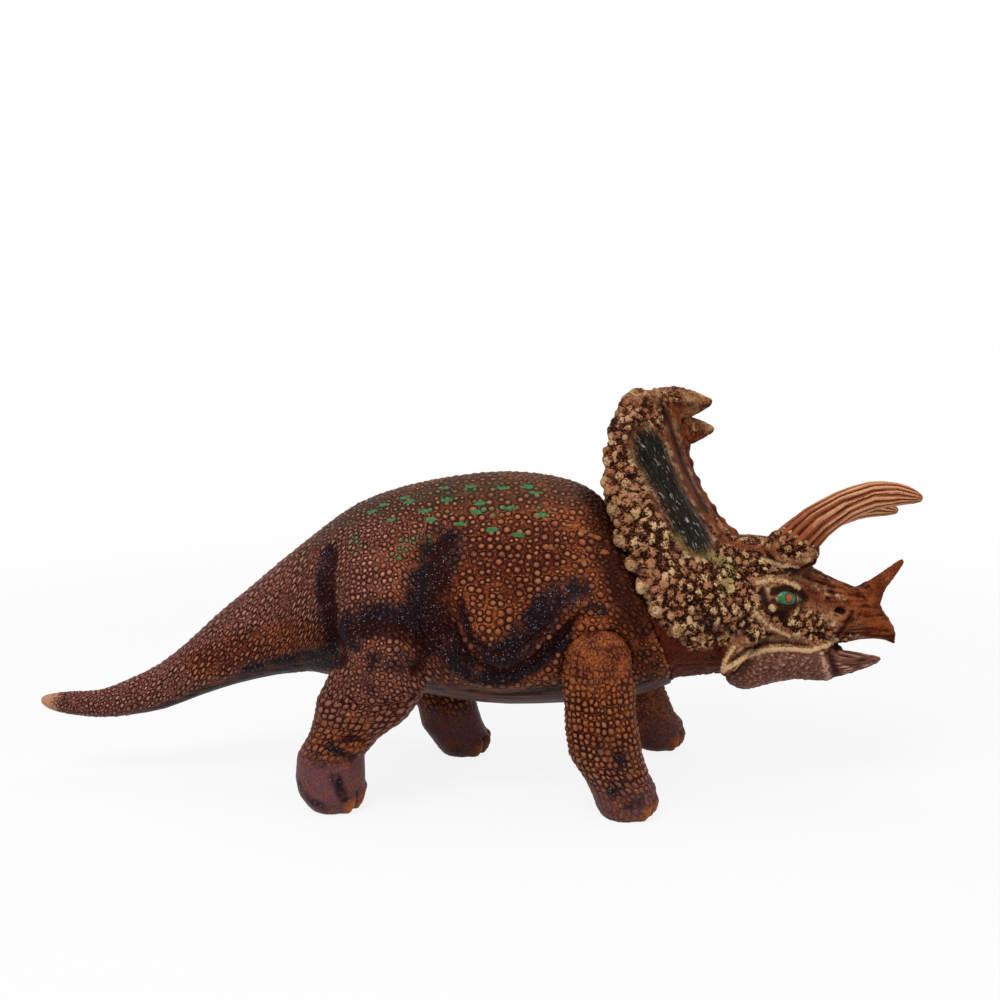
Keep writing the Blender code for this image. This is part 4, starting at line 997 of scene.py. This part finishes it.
def make_front_leg(word, side, stride):
    """A front leg with its toes; its hub stays round inside the shoulder's recess."""
    cork = disc(SHOULDER + Vector((0, side * (HUB_INNER + 1.2 * MM), 0)), (0, 1, 0), 8 * MM, 2.4 * MM)
    made = moulded(f"front_leg_skin_{word}", [cad_copy(f"front_leg_{word}"), cork], 0.55 * MM, 5)
    skin = Skin(made, body_mirror)
    away = skin.places - np.array(tuple(SHOULDER))
    slim = 1 - (1 - HUB_SLIM) * ramp(away[:, 2], -9 * MM, -1 * MM)
    skin.places[:, 0] = SHOULDER.x + away[:, 0] * slim
    skin.places[:, 2] = SHOULDER.z + away[:, 2] * np.where(away[:, 2] > 0, slim, 1)
    skin.write()
    shape_foot(skin, Vector((50 * MM + stride, side * FRONT_SPREAD * MM, 0)), side)
    skin.write()
    x, y, z = skin.places.T / MM
    outer = ramp(side * y, 24, 27)
    skin.field("limb", np.ones(len(z)))
    skin.field("relief", (0.35 + 0.65 * ramp(z, 7, 16)) * (1 - 0.75 * ramp(z, 38, 52)) * outer)
    skin.field("foot", ramp(-z, -20, -9) * 0.6)
    skin.field("purple", 0.45 * ramp(-z, -30, -12))
    for place, height, reach, strength in ((43, 27, 8, 0.6), (46, 19, 7, 0.5), (46, 12, 6, 0.75), (54, 8, 4, 0.7)):
        place = Vector((place * MM + stride, side * 40 * MM, height * MM))
        skin.paint("airbrush", [place, place + Vector((4, 0, -4)) * MM], reach * MM, strength)
    skin.store(HIDE_LAYERS)
    store_barrel(skin)
    skin.store_place("limb_place", *store_limb(
        skin, FRONT_LINE, stride, FRONT_SPREAD, side))
    emboss(made)
    return made


def frill_rows(count):
    """Evenly spread rows of the frill: where each leaves the ridge and where it meets the right rim."""
    rows = np.array(FRILL_ROWS)
    shares = np.linspace(0, len(rows) - 1, count)
    table = np.array([np.interp(shares, range(len(rows)), column) for column in rows.T]).T
    return [(Vector((rx, 0, rz)), Vector((x, -y, z))) for rx, rz, x, y, z in table]


def frill_lobes():
    """The rounded points round the frill's rim, at the tips in the picture and mirrored, and where they stand."""
    rows = frill_rows(240)
    lobes = []
    places = []
    for tip in LOBE_TIPS:
        tip = Vector(tip)
        best = min(range(1, len(rows) - 1), key=lambda index: (pixel_of(on_head(*rows[index][1])) - tip).length)
        ridge, rim = rows[best]
        outward = (rim - ridge).normalized()
        reach = min(np.linspace(-3, 3, 25), key=lambda way: (pixel_of(on_head(*(rim + outward * way))) - tip).length)
        along = rows[best + 1][1] - rows[best - 1][1]
        thin = outward.cross(along).normalized()
        along = thin.cross(outward)
        places.append((rim + outward * (reach - 1.5), rim + outward * (reach - 3.5)))
        for side in (1, -1):
            flip = Matrix.Diagonal((1, side, 1))
            axes = Matrix([flip @ axis for axis in (outward, along, thin)]).transposed()
            middle = flip @ (rim + outward * (reach - LOBE_RADII[0] + 0.4))
            lobes.append(blob(on_head(*middle), Vector(LOBE_RADII) * MM, HEAD_TURN.to_matrix() @ axes))
    return lobes, places


def ridge_bumps():
    """A row of small bumps down the frill's middle ridge."""
    bumps = []
    for x, z in ((15.0, 60.5), (16.0, 55.4), (17.0, 49.0), (19.0, 42.7), (21.4, 37.4), (24.7, 32.9), (27.8, 28.2),
                 (31.8, 24.6)):
        bumps.append(blob(on_head(x - 1.0, 0, z - 0.6), Vector((2.4, 2.6, 2.4)) * MM, Matrix.Identity(3)))
    return bumps


def head_frame(skin):
    """The skin's places in millimetres from the neck's centre, with the head facing straight ahead."""
    turn = np.array(HEAD_TURN.to_matrix())
    return (skin.places - np.array(tuple(NECK_CENTRE))) @ turn / MM


def scattered(places, spacing, seed):
    """Numbers of places that keep their spacing from each other, in a fixed random order."""
    picked = np.random.default_rng(seed).permutation(len(places))[:len(places) // 3]
    size = spacing.max()
    grid = {}
    for index in picked:
        place = places[index]
        cell = tuple((place // size).astype(int))
        near = [
            other for x in (-1, 0, 1) for y in (-1, 0, 1) for z in (-1, 0, 1)
            for other in grid.get((cell[0] + x, cell[1] + y, cell[2] + z), ())
        ]
        if near and (((places[near] - place) ** 2).sum(1) < spacing[index] ** 2).any():
            continue
        grid.setdefault(cell, []).append(index)
    return [index for kept in grid.values() for index in kept]


def lump(skin, spacing, height, seed):
    """Scatters uneven, ragged knobs over the skin with fine grain between them, and paints their height and tint."""
    chance = np.random.default_rng(seed)
    seeds = scattered(skin.places, spacing, seed)
    tree = KDTree(len(seeds))
    for number, index in enumerate(seeds):
        tree.insert(skin.places[index], number)
    tree.balance()
    size = chance.uniform(0.1, 1.1, len(seeds))
    tint = chance.uniform(0, 1, len(seeds))
    stretch = [Vector(way) for way in chance.normal(0, 0.38, (len(seeds), 3))]
    field = np.zeros(len(skin.places))
    tinted = np.zeros(len(skin.places))
    for index, place in enumerate(skin.places):
        here = Vector(place)
        grain = noise.fractal(here / (1.1 * MM), 1.0, 2.0, 3)
        here += noise.noise_vector(here / (1.7 * MM)) * (0.85 * MM)
        best = 0.0
        for spot, number, _ in tree.find_n(here, 3):
            gap = (here - spot) / spacing[index]
            gap += stretch[number] * gap.dot(stretch[number])
            reach = 0.60 + 0.16 * size[number]
            found = (1 - gap.length_squared / reach ** 2) * (0.40 + 0.60 * size[number])
            if found > best:
                best = found
                tinted[index] = tint[number]
        field[index] = best ** 0.6 + 0.30 * grain
    skin.places += skin.normals * (field * height)[:, None]
    skin.field("knob", np.maximum(field, 0))
    skin.field("tint", tinted)


def cut_notches(skin, lobes):
    """Cuts the frill's rim back between its lobes."""
    for (first, rim_first), (second, rim_second) in zip(lobes, lobes[1:]):
        middle = (rim_first + rim_second) / 2
        inward = ((first - rim_first) + (second - rim_second)).normalized()
        for side in (1, -1):
            flip = Matrix.Diagonal((1, side, 1))
            close = skin.closeness([on_head(*(flip @ (middle - inward * 1.5)))], NOTCH_WIDTH * MM)
            move = HEAD_TURN @ (flip @ -inward) * (NOTCH_DEPTH * MM)
            skin.places += close[:, None] * np.array(tuple(move))
    for pixels, width, depth in HEAD_DROPS:
        close = skin.closeness(skin.trace(pixels), width * MM)
        skin.places -= close[:, None] * np.array(tuple(HEAD_TURN @ Vector((0, 0, depth * MM))))


def slim_nose_horn(skin):
    """Draws the nose horn in towards its own axis."""
    turn = np.array(HEAD_TURN.to_matrix())
    axis = (np.array([tuple(place) for place in skin.trace(NOSE_HORN, False)]) - np.array(NECK_CENTRE)) @ turn
    axis[:, 1] = 0
    axis = np.array(NECK_CENTRE) + axis @ turn.T
    close = skin.closeness([Vector(place) for place in axis], NOSE_REACH * MM)
    near = np.flatnonzero(close)
    gaps = ((skin.places[near][:, None] - axis[None]) ** 2).sum(2).argmin(1)
    skin.places[near] += (axis[gaps] - skin.places[near]) * (NOSE_SLIM * close[near])[:, None]


def make_head():
    """Skull, frill, beak and nose horn in one skin."""
    cork = disc(NECK_CENTRE + NECK_AXIS * 1.5 * MM, NECK_AXIS, 13 * MM, 2.2 * MM)
    lobes, places = frill_lobes()
    brows = []
    for side in (1, -1):
        centre = on_head(HORN_ROOT.x + BROW_SHIFT[0], side * (HORN_ROOT.y + BROW_SHIFT[1]), HORN_ROOT.z + BROW_SHIFT[2])
        brows.append(blob(centre, Vector(BROW_RADII) * MM, HEAD_TURN.to_matrix()))
    web = blob(on_head(61.0, 0, -16.5), Vector((6.8, 5.0, 4.6)) * MM, HEAD_TURN.to_matrix())
    jaw = cad_copy("lower_jaw")
    rims = [BVHTree.FromBMesh(jaw).ray_cast(CAMERA_PLACE, photo_ray(*pixel))[0] for pixel in CHEEK_RIM]
    jaw.free()
    rims = [
        blob(place, Vector(CHEEK_RADII) * MM, HEAD_TURN.to_matrix())
        for near in rims if near is not None for place in (near, head_mirror(near))
    ]
    solids = [cad_copy("head_shell"), cork, web, *lobes, *ridge_bumps(), *brows, *rims]
    made = moulded("head_skin", solids, 0.50 * MM, 2)
    skin = Skin(made, head_mirror)
    cut_notches(skin, places)
    skin.write()
    slim_nose_horn(skin)
    skin.write()
    for pixels, width, height in HEAD_RELIEF:
        skin.push(skin.trace(pixels), width * MM, height * MM)
    skin.write()
    paint_head(skin, places)
    skin.write()
    skin.store(HEAD_LAYERS)
    thin(made)
    return made


def paint_head(skin, lobes):
    """Raises the head's knobs and paints it, as soft strokes."""
    x, y, z = head_frame(skin).T
    rows = np.array(FRILL_ROWS)
    rim_z = np.interp(x, rows[:6, 2][::-1], rows[:6, 4][::-1])
    tips = [on_head(place.x, side * place.y, place.z) for place, _ in lobes for side in (1, -1)]
    lobed = skin.closeness(tips, 4.6 * MM)
    skin.field("neck", ramp(rim_z - z, 2.0, 4.5) * ramp(-x, -30, -26) * (1 - ramp(lobed, 0.1, 0.4)))
    skin.field("cream", 0.75 * lobed)
    middle = ramp(-np.abs(y), -9, -5)
    skin.field("brown", ramp(x + 0.5 * z, 62, 72))
    skin.field("brown", 0.35 * ramp(z, 38, 56))
    # The palate inside the open mouth is painted with dark wash: painted shade of the mouth's hollow
    skin.field("wash", ramp(-np.abs(y), -7.5, -6) * ramp(-z, 12.5, 13.5) * ramp(x, 50, 54) * ramp(-x, -71, -69))
    skin.field("brown", middle * ramp(z, 18, 24) * ramp(-z, -64, -56))
    for name, pixels, width, strength in HEAD_PAINT:
        skin.paint(name, skin.trace(pixels), width * MM, strength)
    smooth = np.zeros(len(x))
    for pixels, _, _ in HEAD_RELIEF:
        smooth = np.maximum(smooth, 0.9 * ramp(skin.closeness(skin.trace(pixels), 3.4 * MM), 0.1, 0.6))
    for pixels in SMOOTH_PLACES:
        smooth = np.maximum(smooth, skin.closeness(skin.trace(pixels), 8 * MM))
    smooth = np.maximum(smooth, ramp(x + 0.4 * z, 60, 70))
    smooth = np.maximum(smooth, ramp(skin.paints["gloss"], 0.1, 0.5))
    smooth = np.maximum(smooth, 0.92 * ramp(skin.paints["brown"], 0.58, 0.75))
    smooth = np.maximum(smooth, 0.35 * skin.paints["neck"])
    smooth = np.maximum(smooth, 0.80 * ramp(lobed, 0.1, 0.6))
    frill = ramp(z - 0.2 * x, 5, 20)
    top = ramp(z, 40, 62)
    spacing = settings()[1].knob - 0.7 * MM * (1 - frill) - 0.5 * MM * ramp(x, 45, 60) - 1.0 * MM * top
    keep = (1 - 0.95 * smooth) * (1 - 0.40 * (1 - frill)) * (1 - 0.45 * top)
    lump(skin, spacing, settings()[1].relief * keep, 7)
    # The beak's horn has long grooves, but not the nose horn, and the gloss band and the middle ridge fine ones
    streak = np.array([
        noise.fractal(Vector((a * 0.08, b * 0.7, c * 0.9)), 1.0, 2.0, 3) for a, b, c in zip(x, y, z)
    ])
    lengthwise = np.array([
        noise.noise(Vector((a * 0.9, b * 1.1, 0.12 * c))) for a, b, c in zip(x + 0.55 * z, y, z)
    ])
    beak = ramp(x + 0.5 * z, 58, 64)
    horny = beak * (1 - ramp(skin.closeness(skin.trace(NOSE_HORN), 8 * MM), 0.1, 0.5))
    band = ramp(skin.paints["gloss"], 0.2, 0.6)
    ridge = middle * skin.paints["brown"] * (1 - beak)
    skin.places += skin.normals * (streak * 0.28 * MM * horny + lengthwise * 0.35 * MM * np.maximum(band, ridge))[:, None]
    plain = 0.56 + 0.55 * streak * horny + 0.9 * lengthwise * np.maximum(band, ridge)
    knob = skin.paints["knob"]
    knob += (plain - knob) * smooth
    skin.paints["knob"] = np.clip(knob, 0, 1.2)
    skin.field("smooth", smooth)


def make_horn(word, side):
    """A brow horn with lengthwise grooves."""
    made = moulded(f"brow_horn_skin_{word}", [cad_copy(f"brow_horn_{word}")], 0.36 * MM, 4)
    skin = Skin(made, head_mirror)
    straight = head_frame(skin)
    flip = np.array((1, side, 1))
    line = (np.array(HORN_LINE) + np.array(HORN_ROOT)) * flip
    shares = np.linspace(0, len(line) - 1, 90)
    fine = np.array([np.interp(shares, range(len(line)), column) for column in line.T]).T
    gaps = ((straight[:, None, :] - fine[None, :, :]) ** 2).sum(2)
    nearest = gaps.argmin(1)
    ahead = np.gradient(fine, axis=0)
    ahead /= np.linalg.norm(ahead, axis=1)[:, None]
    out = straight - fine[nearest]
    across = np.array((0.0, 1.0, 0.0))
    up = np.cross(ahead[nearest], across)
    angle = np.arctan2((out * up).sum(1), out[:, 1])
    share = nearest / 89
    wobble = np.array([noise.noise(Vector((a * 1.2, s * 5, side))) for a, s in zip(angle, share)])
    wave = np.cos(angle * 14 + wobble * 2.2 + share * 1.5) * 0.8 + np.cos(angle * 29 - wobble * 4 + 1.3) * 0.2
    groove = np.clip(0.5 + 0.55 * wave, 0, 1) ** 0.8
    skin.places -= skin.normals * ((1 - groove) * 0.60 * MM * ramp(1 - share, 0.02, 0.15))[:, None]
    skin.field("ridge", groove * (0.40 + 0.74 * ramp(share, 0.08, 0.5)) - 0.06)
    skin.write()
    skin.store(("ridge",))
    return made


def make_jaw():
    """The lower jaw with its horny tip and wrinkled skin."""
    made = moulded("lower_jaw_skin", [cad_copy("lower_jaw")], 0.38 * MM, 3)
    skin = Skin(made, head_mirror)
    straight = head_frame(skin)
    x, y, z = straight.T
    wrinkle = np.array([
        noise.fractal(Vector((a * 1.0 + 0.3 * c, b * 1.1, c * 1.3)), 0.8, 2.0, 4) for a, b, c in straight
    ])
    streak = np.array([noise.noise(Vector((a * 0.06, b * 1.1, c * 1.5))) for a, b, c in straight])
    past = x + 0.35 * (z + 20)
    tip = ramp(past, 61.5, 63)
    band = np.exp(-((past - 60.2) / 1.3) ** 2)
    height = wrinkle * 0.40 * (1 - tip) * (1 - band) + streak * 0.60 * tip + band * 0.5 - 0.35 * tip
    skin.places += skin.normals * (height * MM)[:, None]
    behind = np.exp(-((past - 63.0) / 1.2) ** 2)
    ridge = 0.44 + wrinkle * 0.50 * (1 - tip) + streak * 0.8 * tip + band * 0.30 - 0.7 * behind
    skin.field("ridge", np.clip(ridge, 0, 1.1))
    skin.write()
    skin.store(("ridge",))
    return made


def make_eye(word, head):
    """A low painted eyeball set into its socket."""
    found = Skin(head, head_mirror).under(EYE)
    if word == "left":
        found = head_mirror(found)
    side = -1 if word == "right" else 1
    outward = HEAD_TURN @ Vector((0.12, side, 0.06)).normalized()
    ahead = HEAD_TURN @ Vector((1, side * -0.12, -0.1)).normalized()
    above = outward.cross(ahead).normalized()
    ahead = above.cross(outward).normalized()
    axes = Matrix((ahead, above, outward)).transposed()
    centre = found - outward * 0.6 * MM
    bm = bmesh.new()
    place = Matrix.Translation(centre) @ axes.to_4x4() @ Matrix.Diagonal((4.1 * MM, 2.8 * MM, 2.3 * MM, 1))
    bmesh.ops.create_uvsphere(bm, u_segments=40, v_segments=28, radius=1, matrix=place)
    made = object_of(f"eye_{word}", bm)
    made.data.shade_smooth()
    flat = np.array([vert.co for vert in made.data.vertices]) - np.array(centre)
    across = flat @ np.array(ahead) / MM
    rise = flat @ np.array(above) / MM
    rim = np.sqrt((across / 4.1) ** 2 + (rise / 2.8) ** 2)
    pupil = np.sqrt(((across - 0.8) / 1.0) ** 2 + (rise / 1.4) ** 2)
    for name, values in (("rim", rim), ("pupil", pupil)):
        made.data.attributes.new(name, "FLOAT", "POINT").data.foreach_set("value", values.astype(np.float32))
    return made


def painted_eye():
    """Gloss paint dabbed on by hand: green with an orange pupil and a dark line round it."""
    trim = settings()[2]
    made, tree, shader, _, worn, (_, _, fine) = start_material("hand_painted_gloss_eye", ("rim", "pupil"))
    ragged = add(tree, "Math", {0: fine, 1: 0.3, 2: -0.15}, operation="MULTIPLY_ADD")
    pupil = add(tree, "Math", {0: worn["pupil"], 1: ragged}, operation="ADD")
    rim = add(tree, "Math", {0: worn["rim"], 1: ragged}, operation="ADD")
    iris = add(tree, "MapRange", {0: pupil, 1: 1.05, 2: 0.85}, **SMOOTH)
    lid = add(tree, "MapRange", {0: rim, 1: 0.66, 2: 0.86}, **SMOOTH)
    thick = add(tree, "MapRange", {0: fine, 1: 0.42, 2: 0.60, 3: 0.55, 4: 0}, **SMOOTH)
    edge = add(tree, "MapRange", {0: pupil, 1: 1.55, 2: 1.15, 3: 0, 4: 0.8}, **SMOOTH)
    thick = add(tree, "Math", {0: thick, 1: edge}, operation="MAXIMUM")
    done = add(tree, "Mix", {"Factor": thick, "A": trim.eye, "B": trim.lid}, **PAINT)
    done = add(tree, "Mix", {"Factor": iris, "A": done, "B": trim.pupil}, **PAINT)
    done = add(tree, "Mix", {"Factor": lid, "A": done, "B": trim.lid}, **PAINT)
    rough = add(tree, "MapRange", {0: fine, 3: 0.18, 4: 0.30})
    finish_shader(tree, shader, done, rough, fine, 0.05 * MM, 0.25)
    return made


def seen_ray(tree):
    """1 for a ray that the camera sees straight, in a gloss or through a clear piece."""
    path = add(tree, "LightPath")
    seen = add(tree, "Math", {0: path.outputs["Is Camera Ray"], 1: path.outputs["Is Glossy Ray"]}, operation="MAXIMUM")
    return add(tree, "Math", {0: seen, 1: path.outputs["Is Transmission Ray"]}, operation="MAXIMUM")


def make_stage():
    """A plain pale floor, soft light and the camera."""
    bm = bmesh.new()
    bmesh.ops.create_grid(bm, x_segments=1, y_segments=1, size=3.0)
    floor = object_of("floor", bm)
    made = bpy.data.materials.new("matt_white_paper_floor")
    made.use_nodes = True
    tree = made.node_tree
    shader = tree.nodes["Principled BSDF"]
    shader.inputs["Base Color"].default_value = (0.75, 0.75, 0.75, 1)
    shader.inputs["Roughness"].default_value = 1
    shader.inputs["Specular IOR Level"].default_value = 0.1
    # What is seen of the floor turns white away from the figure, and keeps the shadow near it
    away = add(tree, "VectorMath", {0: add(tree, "TexCoord").outputs["Object"]}, operation="LENGTH")
    share = add(tree, "MapRange", {0: away.outputs["Value"], 1: 0.20, 2: 0.60, 3: 0.87, 4: 1.0}, **SMOOTH)
    white = add(tree, "Emission", {"Color": (1, 1, 1, 1), "Strength": 1.0})
    shade = add(tree, "MixShader", {0: share, 1: shader, 2: white})
    both = add(tree, "MixShader", {0: seen_ray(tree), 1: shader, 2: shade})
    tree.links.new(both.outputs[0], tree.nodes["Material Output"].inputs["Surface"])
    floor.data.materials.append(made)

    world = bpy.data.worlds.new("soft_white_studio")
    world.use_nodes = True
    bpy.context.scene.world = world
    tree = world.node_tree
    sky = tree.nodes["Background"]
    strength = add(tree, "Mix", {"Factor": seen_ray(tree), "A": 0.22, "B": 1.0}, data_type="FLOAT")
    sky.inputs["Color"].default_value = (1, 1, 1, 1)
    tree.links.new(next(found for found in strength.outputs if found.enabled), sky.inputs["Strength"])

    for name, place, size, power in (
        ("key", (-0.25, -0.45, 0.80), 0.45, 6.0),
        ("fill", (0.6, -0.55, 0.35), 0.6, 1.6),
        ("top", (0.05, 0.20, 0.9), 0.6, 2.9),
    ):
        lamp = bpy.data.lights.new(name, "AREA")
        lamp.size = size
        lamp.energy = power
        made = bpy.data.objects.new(name, lamp)
        made.location = place
        aim = Vector((0, 0, 0.05)) - Vector(place)
        made.rotation_mode = "QUATERNION"
        made.rotation_quaternion = aim.to_track_quat("-Z", "Y")
        bpy.context.scene.collection.objects.link(made)

    camera = bpy.data.cameras.new("camera")
    camera.sensor_width = SENSOR
    camera.lens = FOCAL_PIXELS / PHOTO_SIDE * SENSOR
    camera.clip_start = 0.02
    camera.clip_end = 20
    made = bpy.data.objects.new("camera", camera)
    made.location = CAMERA_PLACE
    made.rotation_mode = "QUATERNION"
    made.rotation_quaternion = CAMERA_AHEAD.to_track_quat("-Z", "Y")
    bpy.context.scene.collection.objects.link(made)
    bpy.context.scene.camera = made
    bpy.context.scene.view_settings.view_transform = "Standard"


class DINOSAUR_OT_stage(Operator):
    """Sets the floor, the light and the camera"""
    bl_idname = "dinosaur.stage"
    bl_label = "Stage"

    def execute(self, context):
        make_stage()
        return {"FINISHED"}


class DINOSAUR_OT_body(Operator):
    """Models the skin of trunk, tail and hind legs"""
    bl_idname = "dinosaur.body"
    bl_label = "Body"

    def execute(self, context):
        nodes = ("torso_shell", "tail", "hind_leg_right", "hind_leg_left")
        dress(make_body(), painted_hide(), "trunk", "hide", *nodes)
        return {"FINISHED"}


class DINOSAUR_OT_front_legs(Operator):
    """Models the two front legs"""
    bl_idname = "dinosaur.front_legs"
    bl_label = "Front legs"

    def execute(self, context):
        paint = bpy.data.materials["sprayed_soft_vinyl_hide"]
        for word, side, stride in (("right", -1, 0), ("left", 1, FRONT_STRIDE)):
            dress(make_front_leg(word, side, stride), paint, f"front_leg_{word}", "hide", f"front_leg_{word}")
        return {"FINISHED"}


class DINOSAUR_OT_head(Operator):
    """Models the head with its frill, nose horn and eyes"""
    bl_idname = "dinosaur.head"
    bl_label = "Head and eyes"

    def execute(self, context):
        head = make_head()
        dress(head, painted_mask(), "head", "mask", "head_shell")
        paint = painted_eye()
        for word in ("right", "left"):
            dress(make_eye(word, head), paint, "head", "mask")
        return {"FINISHED"}


class DINOSAUR_OT_horns(Operator):
    """Models the two brow horns"""
    bl_idname = "dinosaur.horns"
    bl_label = "Brow horns"

    def execute(self, context):
        trim = settings()[2]
        # Vinyl painted by brush: the paint ran off the ridges and stayed in the grooves
        paint = painted_trim("brushed_soft_vinyl_horn", trim.horn_dark, trim.horn, trim.horn_light)
        for word, side in (("right", -1), ("left", 1)):
            dress(make_horn(word, side), paint, "head", "horn", f"brow_horn_{word}")
        return {"FINISHED"}


class DINOSAUR_OT_jaw(Operator):
    """Models the lower jaw"""
    bl_idname = "dinosaur.jaw"
    bl_label = "Lower jaw"

    def execute(self, context):
        trim = settings()[2]
        # Vinyl in thin mauve-brown paint that pooled dark in the wrinkles
        paint = painted_trim("washed_soft_vinyl_jaw", trim.chin_dark, trim.chin, trim.chin_light)
        dress(make_jaw(), paint, "head", "chin", "lower_jaw")
        return {"FINISHED"}


class DINOSAUR_OT_plugs(Operator):
    """Finishes the plugs inside the neck and the shoulders"""
    bl_idname = "dinosaur.plugs"
    bl_label = "Plugs"

    def execute(self, context):
        trim = settings()[2]
        # Injection-moulded polypropylene: milky, with a fine spark-eroded texture
        made, tree, shader, _, _, (_, mottle, fine) = start_material("moulded_polypropylene_plug")
        dull = tuple(0.85 * share for share in trim.plug[:3]) + (1.0,)
        done = add(tree, "Mix", {"Factor": mottle, "A": dull, "B": trim.plug}, **PAINT)
        rough = add(tree, "MapRange", {0: fine, 3: 0.4, 4: 0.6})
        finish_shader(tree, shader, done, rough, fine, 0.04 * MM, 0.3)
        for node in ("neck_plug", "shoulder_plug_right", "shoulder_plug_left"):
            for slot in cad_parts[node].material_slots:
                slot.material = made
        return {"FINISHED"}


class DINOSAUR_PT_pieces(Panel):
    """Lists the pieces"""
    bl_idname = "DINOSAUR_PT_pieces"
    bl_label = "Toy dinosaur"
    bl_space_type = "VIEW_3D"
    bl_region_type = "UI"
    bl_category = "Dinosaur"

    def draw(self, context):
        for made in OPERATORS:
            self.layout.operator(made.bl_idname)


OPERATORS = (
    DINOSAUR_OT_stage, DINOSAUR_OT_body, DINOSAUR_OT_front_legs, DINOSAUR_OT_head, DINOSAUR_OT_horns,
    DINOSAUR_OT_jaw, DINOSAUR_OT_plugs
)
CLASSES = (HideSettings, MaskSettings, TrimSettings, *OPERATORS, DINOSAUR_PT_pieces)


def register():
    for made in CLASSES:
        bpy.utils.register_class(made)
    bpy.types.Scene.dinosaur_hide = PointerProperty(type=HideSettings)
    bpy.types.Scene.dinosaur_mask = PointerProperty(type=MaskSettings)
    bpy.types.Scene.dinosaur_trim = PointerProperty(type=TrimSettings)


def unregister():
    del bpy.types.Scene.dinosaur_trim
    del bpy.types.Scene.dinosaur_mask
    del bpy.types.Scene.dinosaur_hide
    for made in reversed(CLASSES):
        bpy.utils.unregister_class(made)


def main():
    register()
    bpy.ops.dinosaur.stage()
    bpy.ops.dinosaur.body()
    bpy.ops.dinosaur.front_legs()
    bpy.ops.dinosaur.head()
    bpy.ops.dinosaur.horns()
    bpy.ops.dinosaur.jaw()
    bpy.ops.dinosaur.plugs()


if __name__ == "__main__":
    main()
